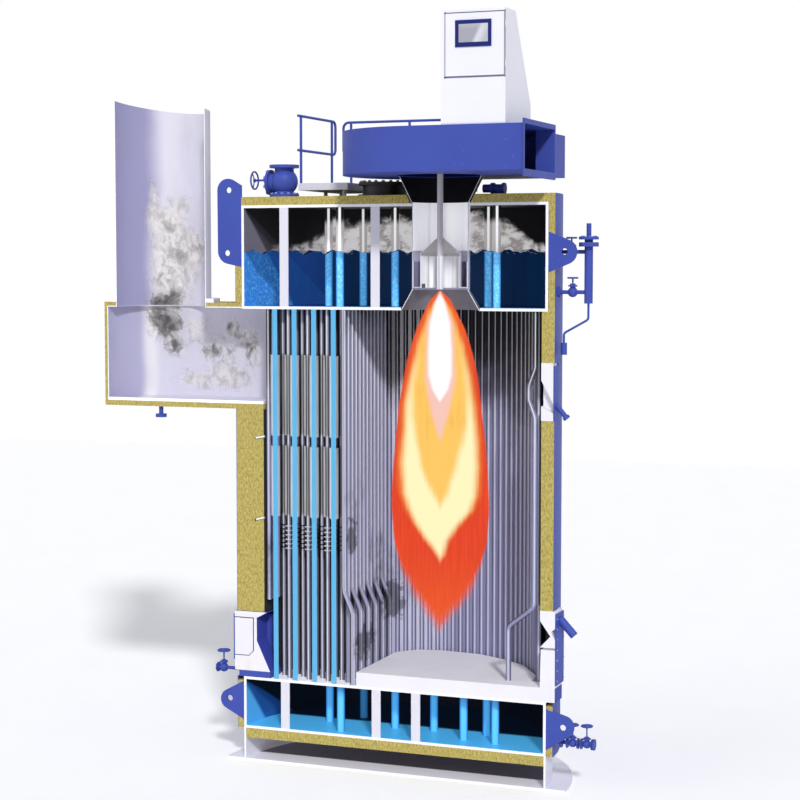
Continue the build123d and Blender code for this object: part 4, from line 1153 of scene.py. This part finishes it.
boltSettings = {
    "worn": "5a6cc0",
    "bright": "b8c0ea",
    "washer": 1.35,
    "washerHeight": 0.2,
    "smallBolts": {
        "head": 0.013, "height": 0.011,
        "circles": [
            {"centre": (2.937, 0.19, 7.94), "axis": (0, 0, 1), "radius": 0.105, "count": 8},
            {"centre": (-2.969, 0.25, 1.345), "axis": (-1, 0, 0), "radius": 0.054, "count": 6},
        ],
    },
    "largeBolts": {
        "head": 0.024, "height": 0.02,
        "circles": [
            {"centre": (-1.86, 0.37, 8.60), "axis": (0, 0, 1), "radius": 0.190, "count": 12, "start": 0.0},
            {"centre": (-2.106, 0.37, 8.782), "axis": (-1, 0, 0), "radius": 0.165, "count": 8},
            {"centre": (-0.33, 0.62, 8.765), "axis": (0, 0, 1), "radius": 0.355, "count": 20},
        ],
    },
    "rightCover": {"x": 2.5503, "frontY": 0.035, "rearY": 0.345, "foot": 1.60, "pitch": 0.15, "count": 7},
    "leftCover": {"side": 0.04, "end": 0.05, "count": 6},
}


def circleOfBolts(centre, axis, radius, count, start=0.5):
    normal = Vector(axis).normalized()
    side = normal.orthogonal().normalized()
    other = normal.cross(side)
    spots = []
    for i in range(count):
        angle = 2 * math.pi * (i + start) / count
        place = Vector(centre) + side * radius * math.cos(angle) + other * radius * math.sin(angle)
        spots.append((place, normal))
    return spots


def rowsOfBolts(x, axis, frontY, rearY, levels):
    return [(Vector((x, y, z)), Vector(axis)) for y in (frontY, rearY) for z in levels]


def coverBolts(settings):
    right, left = settings["rightCover"], settings["leftCover"]
    levels = [right["foot"] + right["pitch"] * i for i in range(right["count"])]
    spots = rowsOfBolts(right["x"], (1, 0, 0), right["frontY"], right["rearY"], levels)
    low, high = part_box("left_door_cover")
    tall = high.z - low.z - 2 * left["end"]
    levels = [low.z + left["end"] + tall * i / (left["count"] - 1) for i in range(left["count"])]
    return spots + rowsOfBolts(low.x, (-1, 0, 0), low.y + left["side"], high.y - left["side"], levels)


def boltFinish(settings):
    finish = Finish("boltHeads")
    worn = finish.between(finish.noise(40.0, 4.0), 0.4, 0.7)
    return finish.done(finish.mix(worn, settings["worn"], settings["bright"]), 0.3, 0.1)


def makeBolts(settings):
    material = boltFinish(settings)
    for name in ("smallBolts", "largeBolts"):
        own = settings[name]
        spots = [spot for circle in own["circles"] for spot in circleOfBolts(**circle)]
        if name == "smallBolts":
            spots += coverBolts(settings)
        base = meshOf(name + "Spots", [tuple(place) for place, axis in spots], [])
        axes = base.attributes.new("axis", "FLOAT_VECTOR", "POINT")
        axes.data.foreach_set("vector", [part for place, axis in spots for part in axis])
        grow(name, boltTree(), base, {
            "Head Radius": own["head"], "Head Height": own["height"],
            "Washer Radius": own["head"] * settings["washer"],
            "Washer Height": own["height"] * settings["washerHeight"], "Material": material
        })


makeBolts(boltSettings)
print("bolts made")


# Steam and smoke: thin sheets whose density is kept on their points

def ribbonMesh(name, settings, amounts):
    plan, low, high = settings["plan"], settings["low"], settings["high"]
    columns, rows = settings["columns"], settings["rows"]
    lengths = [math.dist(a, b) for a, b in zip(plan, plan[1:])]
    spots = []
    for (ax, ay), (bx, by), length in zip(plan, plan[1:], lengths):
        steps = max(1, round(columns * length / sum(lengths)))
        spots += [(ax + (bx - ax) * i / steps, ay + (by - ay) * i / steps) for i in range(steps)]
    spots.append(plan[-1])
    points = [(x, y, low + (high - low) * row / rows) for row in range(rows + 1) for x, y in spots]
    wide = len(spots)
    faces = []
    for row in range(rows):
        for i in range(wide - 1):
            a = row * wide + i
            faces.append((a, a + 1, a + wide + 1, a + wide))
    mesh = meshOf(name, points, faces)
    for label, amount in amounts.items():
        density = mesh.attributes.new(label, "FLOAT", "POINT")
        density.data.foreach_set("value", [amount(point) for point in points])
    return mesh


def alongLine(points, place):
    for (a, low), (b, high) in zip(points, points[1:]):
        if place <= b:
            return low + (high - low) * max(0.0, place - a) / (b - a)
    return points[-1][1]


steamSettings = {
    "plan": [
        (-2.27, 0.30), (-2.10, 0.80), (-1.75, 1.30), (-1.1, 1.5), (1.1, 1.5), (1.75, 1.30), (2.10, 0.85),
        (2.28, 0.3)
    ],
    "low": 7.66,
    "high": 8.385,
    "columns": 260,
    "rows": 36,
    "crown": [
        (-2.37, 7.70), (-1.99, 7.71), (-1.90, 7.86), (-1.78, 7.94), (-1.62, 7.81), (-1.49, 7.88),
        (-1.35, 7.89), (-1.25, 7.88), (-1.16, 7.98), (-1.03, 8.08), (-0.99, 8.25), (-0.83, 8.30),
        (-0.69, 8.22), (-0.55, 8.16), (-0.41, 8.22), (-0.16, 8.20), (0.0, 8.26), (0.10, 8.33), (0.23, 8.26),
        (0.33, 8.22), (1.21, 8.34), (1.43, 8.33), (1.59, 8.27), (1.75, 8.21), (1.88, 8.14), (2.04, 8.05),
        (2.11, 7.98), (2.24, 7.88), (2.36, 7.83)
    ],
    "white": "f0edeb",
    "grey": "aba4a1",
    "shade": "8a8482",
    "thinUntil": (-1.3, -0.9),
    "glow": 0.7,
    "glowStrength": 0.8,
}
# Each puff is a place along the cut, a level, a width, a height and a strength
smokeSettings = {
    "stackSmoke": {
        "plan": [(-4.30, 0.18), (-4.10, 0.42), (-3.70, 0.52), (-3.35, 0.42), (-3.12, 0.2)],
        "low": 6.92, "high": 9.2, "columns": 60, "rows": 100
    },
    "boxSmoke": {
        "plan": [(-4.45, 0.25), (-4.0, 0.5), (-3.2, 0.55), (-2.55, 0.4), (-2.12, 0.2)],
        "low": 5.6, "high": 6.9, "columns": 110, "rows": 64
    },
    "mist": [
        (-3.64, 8.15, 0.28, 0.33, 0.9), (-3.50, 7.75, 0.36, 0.35, 1.0), (-3.62, 7.30, 0.36, 0.32, 1.0),
        (-3.88, 8.66, 0.08, 0.22, 0.6), (-3.35, 8.46, 0.15, 0.14, 0.5), (-3.90, 8.30, 0.13, 0.25, 0.6),
        (-3.17, 7.80, 0.20, 0.22, 0.7), (-3.20, 6.60, 0.22, 0.30, 0.6), (-2.60, 5.85, 0.45, 0.22, 0.7),
        (-2.74, 6.30, 0.30, 0.25, 0.5), (-3.25, 5.80, 0.35, 0.15, 0.5)
    ],
    "soot": [
        (-3.64, 8.13, 0.17, 0.13, 0.50), (-3.51, 7.69, 0.19, 0.17, 0.50), (-3.15, 7.78, 0.19, 0.11, 0.55),
        (-3.25, 7.52, 0.16, 0.12, 0.35), (-3.73, 7.34, 0.16, 0.14, 0.40), (-3.62, 7.05, 0.34, 0.14, 0.75),
        (-3.84, 6.72, 0.20, 0.28, 0.85), (-3.55, 6.62, 0.22, 0.32, 0.85), (-3.48, 6.28, 0.18, 0.16, 0.55),
        (-3.36, 5.95, 0.12, 0.05, 0.35), (-2.57, 6.56, 0.22, 0.22, 0.65), (-2.23, 6.30, 0.18, 0.33, 0.70),
        (-2.97, 6.22, 0.22, 0.22, 0.50), (-2.70, 6.24, 0.28, 0.13, 0.40), (-2.98, 5.83, 0.08, 0.26, 0.30),
        (-2.50, 5.93, 0.20, 0.20, 0.25)
    ],
    "dark": "1c1a19",
    "grey": "8c8682",
    "pale": "dad6d0",
    "glow": 0.12,
}


# Where a point shows on the cut plane from the camera's place, which is worked out once and kept on the mesh
def onCutPlane(point):
    x, y, z = point
    eyeX, eyeY, eyeZ = cameraSettings["position"]
    share = eyeY / (eyeY - y)
    return eyeX + (x - eyeX) * share, eyeZ + (z - eyeZ) * share


def steamCrown(point):
    x, z = onCutPlane(point)
    return alongLine(steamSettings["crown"], x) - z


def puffs(kind, point):
    x, z = onCutPlane(point)
    return sum(
        strength * math.exp(-((x - px) / wide) ** 2 - ((z - pz) / tall) ** 2)
        for px, pz, wide, tall, strength in smokeSettings[kind]
    )


def mistAmount(point):
    return puffs("mist", point)


def sootAmount(point):
    return puffs("soot", point)


def steamFinish(settings):
    finish = Finish("steam")
    billows = finish.noise(3.0, 5.0, 0.58, (1, 1, 1.3), 0.4) - 0.5
    curls = finish.noise(7.0, 5.0, 0.6, (1, 1, 1.4), 0.5) - 0.5
    depth = finish.attribute("amount") + billows * 0.26 + curls * 0.16
    foot = finish.z - waveHeight(finish) - waterSettings["level"]
    alpha = finish.between(depth, 0.0, 0.11) * finish.between(foot, -0.01, 0.01)
    thin = 1.0 - finish.between(finish.slanted(), *settings["thinUntil"]) * 0.95
    bright = finish.between(billows + curls * 1.1, -0.16, 0.12)
    colour = finish.mix(bright, settings["grey"], settings["white"])
    colour = finish.mix((1.0 - finish.between(depth, 0.02, 0.16)) * 0.7, colour, settings["shade"])
    glow = finish.lift(settings["glow"], colour)
    alpha = alpha * (0.95 - thin * 0.3)
    return finish.done(colour, 1.0, alpha=alpha, glow=glow, glowStrength=settings["glowStrength"])


def smokeFinish(settings):
    finish = Finish("smoke")
    rolls = finish.noise(4.5, 6.0, 0.62, None, 0.8) - 0.5
    wisps = finish.noise(11.0, 5.0, 0.6, (1, 1, 0.8), 0.7) - 0.5
    mist, soot = finish.attribute("mist"), finish.attribute("soot")
    cloud = finish.between(mist + (rolls * 1.2 + wisps * 0.5) * finish.between(mist, 0.0, 0.3), 0.15, 0.8)
    curls = finish.between(wisps + rolls * 0.8, -0.16, 0.18)
    swirl = (rolls * 1.3 + wisps * 0.9) * finish.between(soot, 0.0, 0.3)
    smut = finish.between(soot * 1.2 + swirl, 0.0, 1.45)
    pale = finish.mix(curls * 0.7, settings["pale"], settings["grey"])
    colour = finish.mix(smut, pale, settings["dark"])
    alpha = finish.larger(cloud * 0.7, finish.between(smut, 0.0, 0.8) * 0.9)
    return finish.done(colour, 1.0, alpha=alpha, glow=finish.lift((1.0 - smut) * settings["glow"], pale))


def makeVapours():
    sheet = ribbonMesh("steam", steamSettings, {"amount": steamCrown})
    finishPiece("steam", sheet, steamFinish(steamSettings)).visible_shadow = False
    smoke = smokeFinish(smokeSettings)
    for name in ("stackSmoke", "boxSmoke"):
        sheet = ribbonMesh(name, smokeSettings[name], {"mist": mistAmount, "soot": sootAmount})
        finishPiece(name, sheet, smoke).visible_shadow = False


makeVapours()
print("steam and smoke made")


# Water: the waved surface in the upper drum, and flat faces in the cut tubes

surfaceSettings = {
    "radius": 2.355, "rings": 24, "turns": 220, "frontY": 0.004, "throatGap": 0.004, "foam": "d8e8f6",
    "blue": "2f6cb8", "deep": "1a4280"
}
boreSettings = {
    "centres": [-1.858, -1.5405, -1.223, -0.9055], "radius": 0.0332, "foot": 1.289, "head": 6.884,
    "frontY": 0.0012, "rearY": 0.006, "blue": "52acdc", "ripple": "68bbe6"
}


# The surface leaves out the burner's throat
def makeWaterSurface(settings):
    points, faces = [], []
    rings, turns = settings["rings"], settings["turns"]
    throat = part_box("burner_throat")[1].x - burnerSettings["axis"] + settings["throatGap"]
    for ring in range(rings + 1):
        for i in range(turns + 1):
            across = settings["radius"] * (2 * i / turns - 1)
            reach = math.sqrt(max(0.0, settings["radius"] ** 2 - across ** 2))
            y = settings["frontY"] + reach * ring / rings
            points.append((across, y, waterSettings["level"] + waveLine(across + y * viewSlant, math.sin)))
    for ring in range(rings):
        for i in range(turns):
            a = ring * (turns + 1) + i
            corners = (a, a + 1, a + turns + 2, a + turns + 1)
            if min(math.hypot(points[c][0] - burnerSettings["axis"], points[c][1]) for c in corners) > throat:
                faces.append(corners)
    finish = Finish("waterSurface")
    foam = finish.between(finish.noise(14.0, 3.0), 0.45, 0.6) * 0.4
    upper = finish.between(finish.facing((0, 0, 1)), -0.1, 0.1)
    colour = finish.mix(upper, settings["deep"], finish.mix(foam, settings["blue"], settings["foam"]))
    finishPiece("waterSurface", meshOf("waterSurface", points, faces), finish.done(colour, 0.15))


def makeTubeWater(settings):
    points, faces = [], []
    for centre in settings["centres"]:
        left, right = centre - settings["radius"], centre + settings["radius"]
        first = len(points)
        for y in (settings["frontY"], settings["rearY"]):
            for z in (settings["foot"], settings["head"]):
                points += [(left, y, z), (right, y, z)]
        for corners in ((0, 1, 3, 2), (5, 4, 6, 7), (4, 0, 2, 6), (1, 5, 7, 3), (2, 3, 7, 6), (4, 5, 1, 0)):
            faces.append(tuple(first + c for c in corners))
    finish = Finish("tubeWater")
    ripple = finish.noise(6.0, 3.0, 0.5, (1, 1, 0.2))
    colour = finish.mix(ripple * 0.4, settings["blue"], settings["ripple"])
    finishPiece("tubeWater", meshOf("tubeWater", points, faces), finish.done(colour, 0.3))


makeWaterSurface(surfaceSettings)
makeTubeWater(boreSettings)
print("water made")


# Thermometer pockets: polished pegs from the tube into the wool

pegSettings = {
    "pegs": [((-2.03, 0.012, 4.965), (-2.19, 0.012, 4.935)), ((-2.04, 0.012, 3.735), (-2.20, 0.012, 3.695))],
    "radius": 0.021,
    "sides": 20,
    "under": "55555c",
    "lit": "f6f6fa",
    "tip": "0c0c10",
    "tipFrom": (-2.185, -2.175),
}


def makePegs(settings):
    points, faces = [], []
    sides = settings["sides"]
    for start, end in settings["pegs"]:
        start, end = Vector(start), Vector(end)
        along = (end - start).normalized()
        side = along.orthogonal().normalized()
        other = along.cross(side)
        first = len(points)
        for centre in (start, end):
            for i in range(sides):
                turn = 2 * math.pi * i / sides
                outward = side * math.cos(turn) + other * math.sin(turn)
                points.append(tuple(centre + outward * settings["radius"]))
        for i in range(sides):
            j = (i + 1) % sides
            faces.append((first + i, first + j, first + sides + j, first + sides + i))
        faces.append(tuple(first + i for i in reversed(range(sides))))
        faces.append(tuple(first + sides + i for i in range(sides)))
    finish = Finish("pegSteel")
    # Painted highlight on the pegs' upper side and painted shade under it, darker at the tip
    upper = finish.between(finish.facing((0, -0.6, 0.8)), 0.0, 0.8)
    tip = 1.0 - finish.between(finish.x, *settings["tipFrom"])
    colour = finish.mix(tip, finish.mix(upper, settings["under"], settings["lit"]), settings["tip"])
    finishPiece("pegs", meshOf("pegs", points, faces), finish.done(colour, 0.25, 0.3))


makePegs(pegSettings)
print("pegs made")
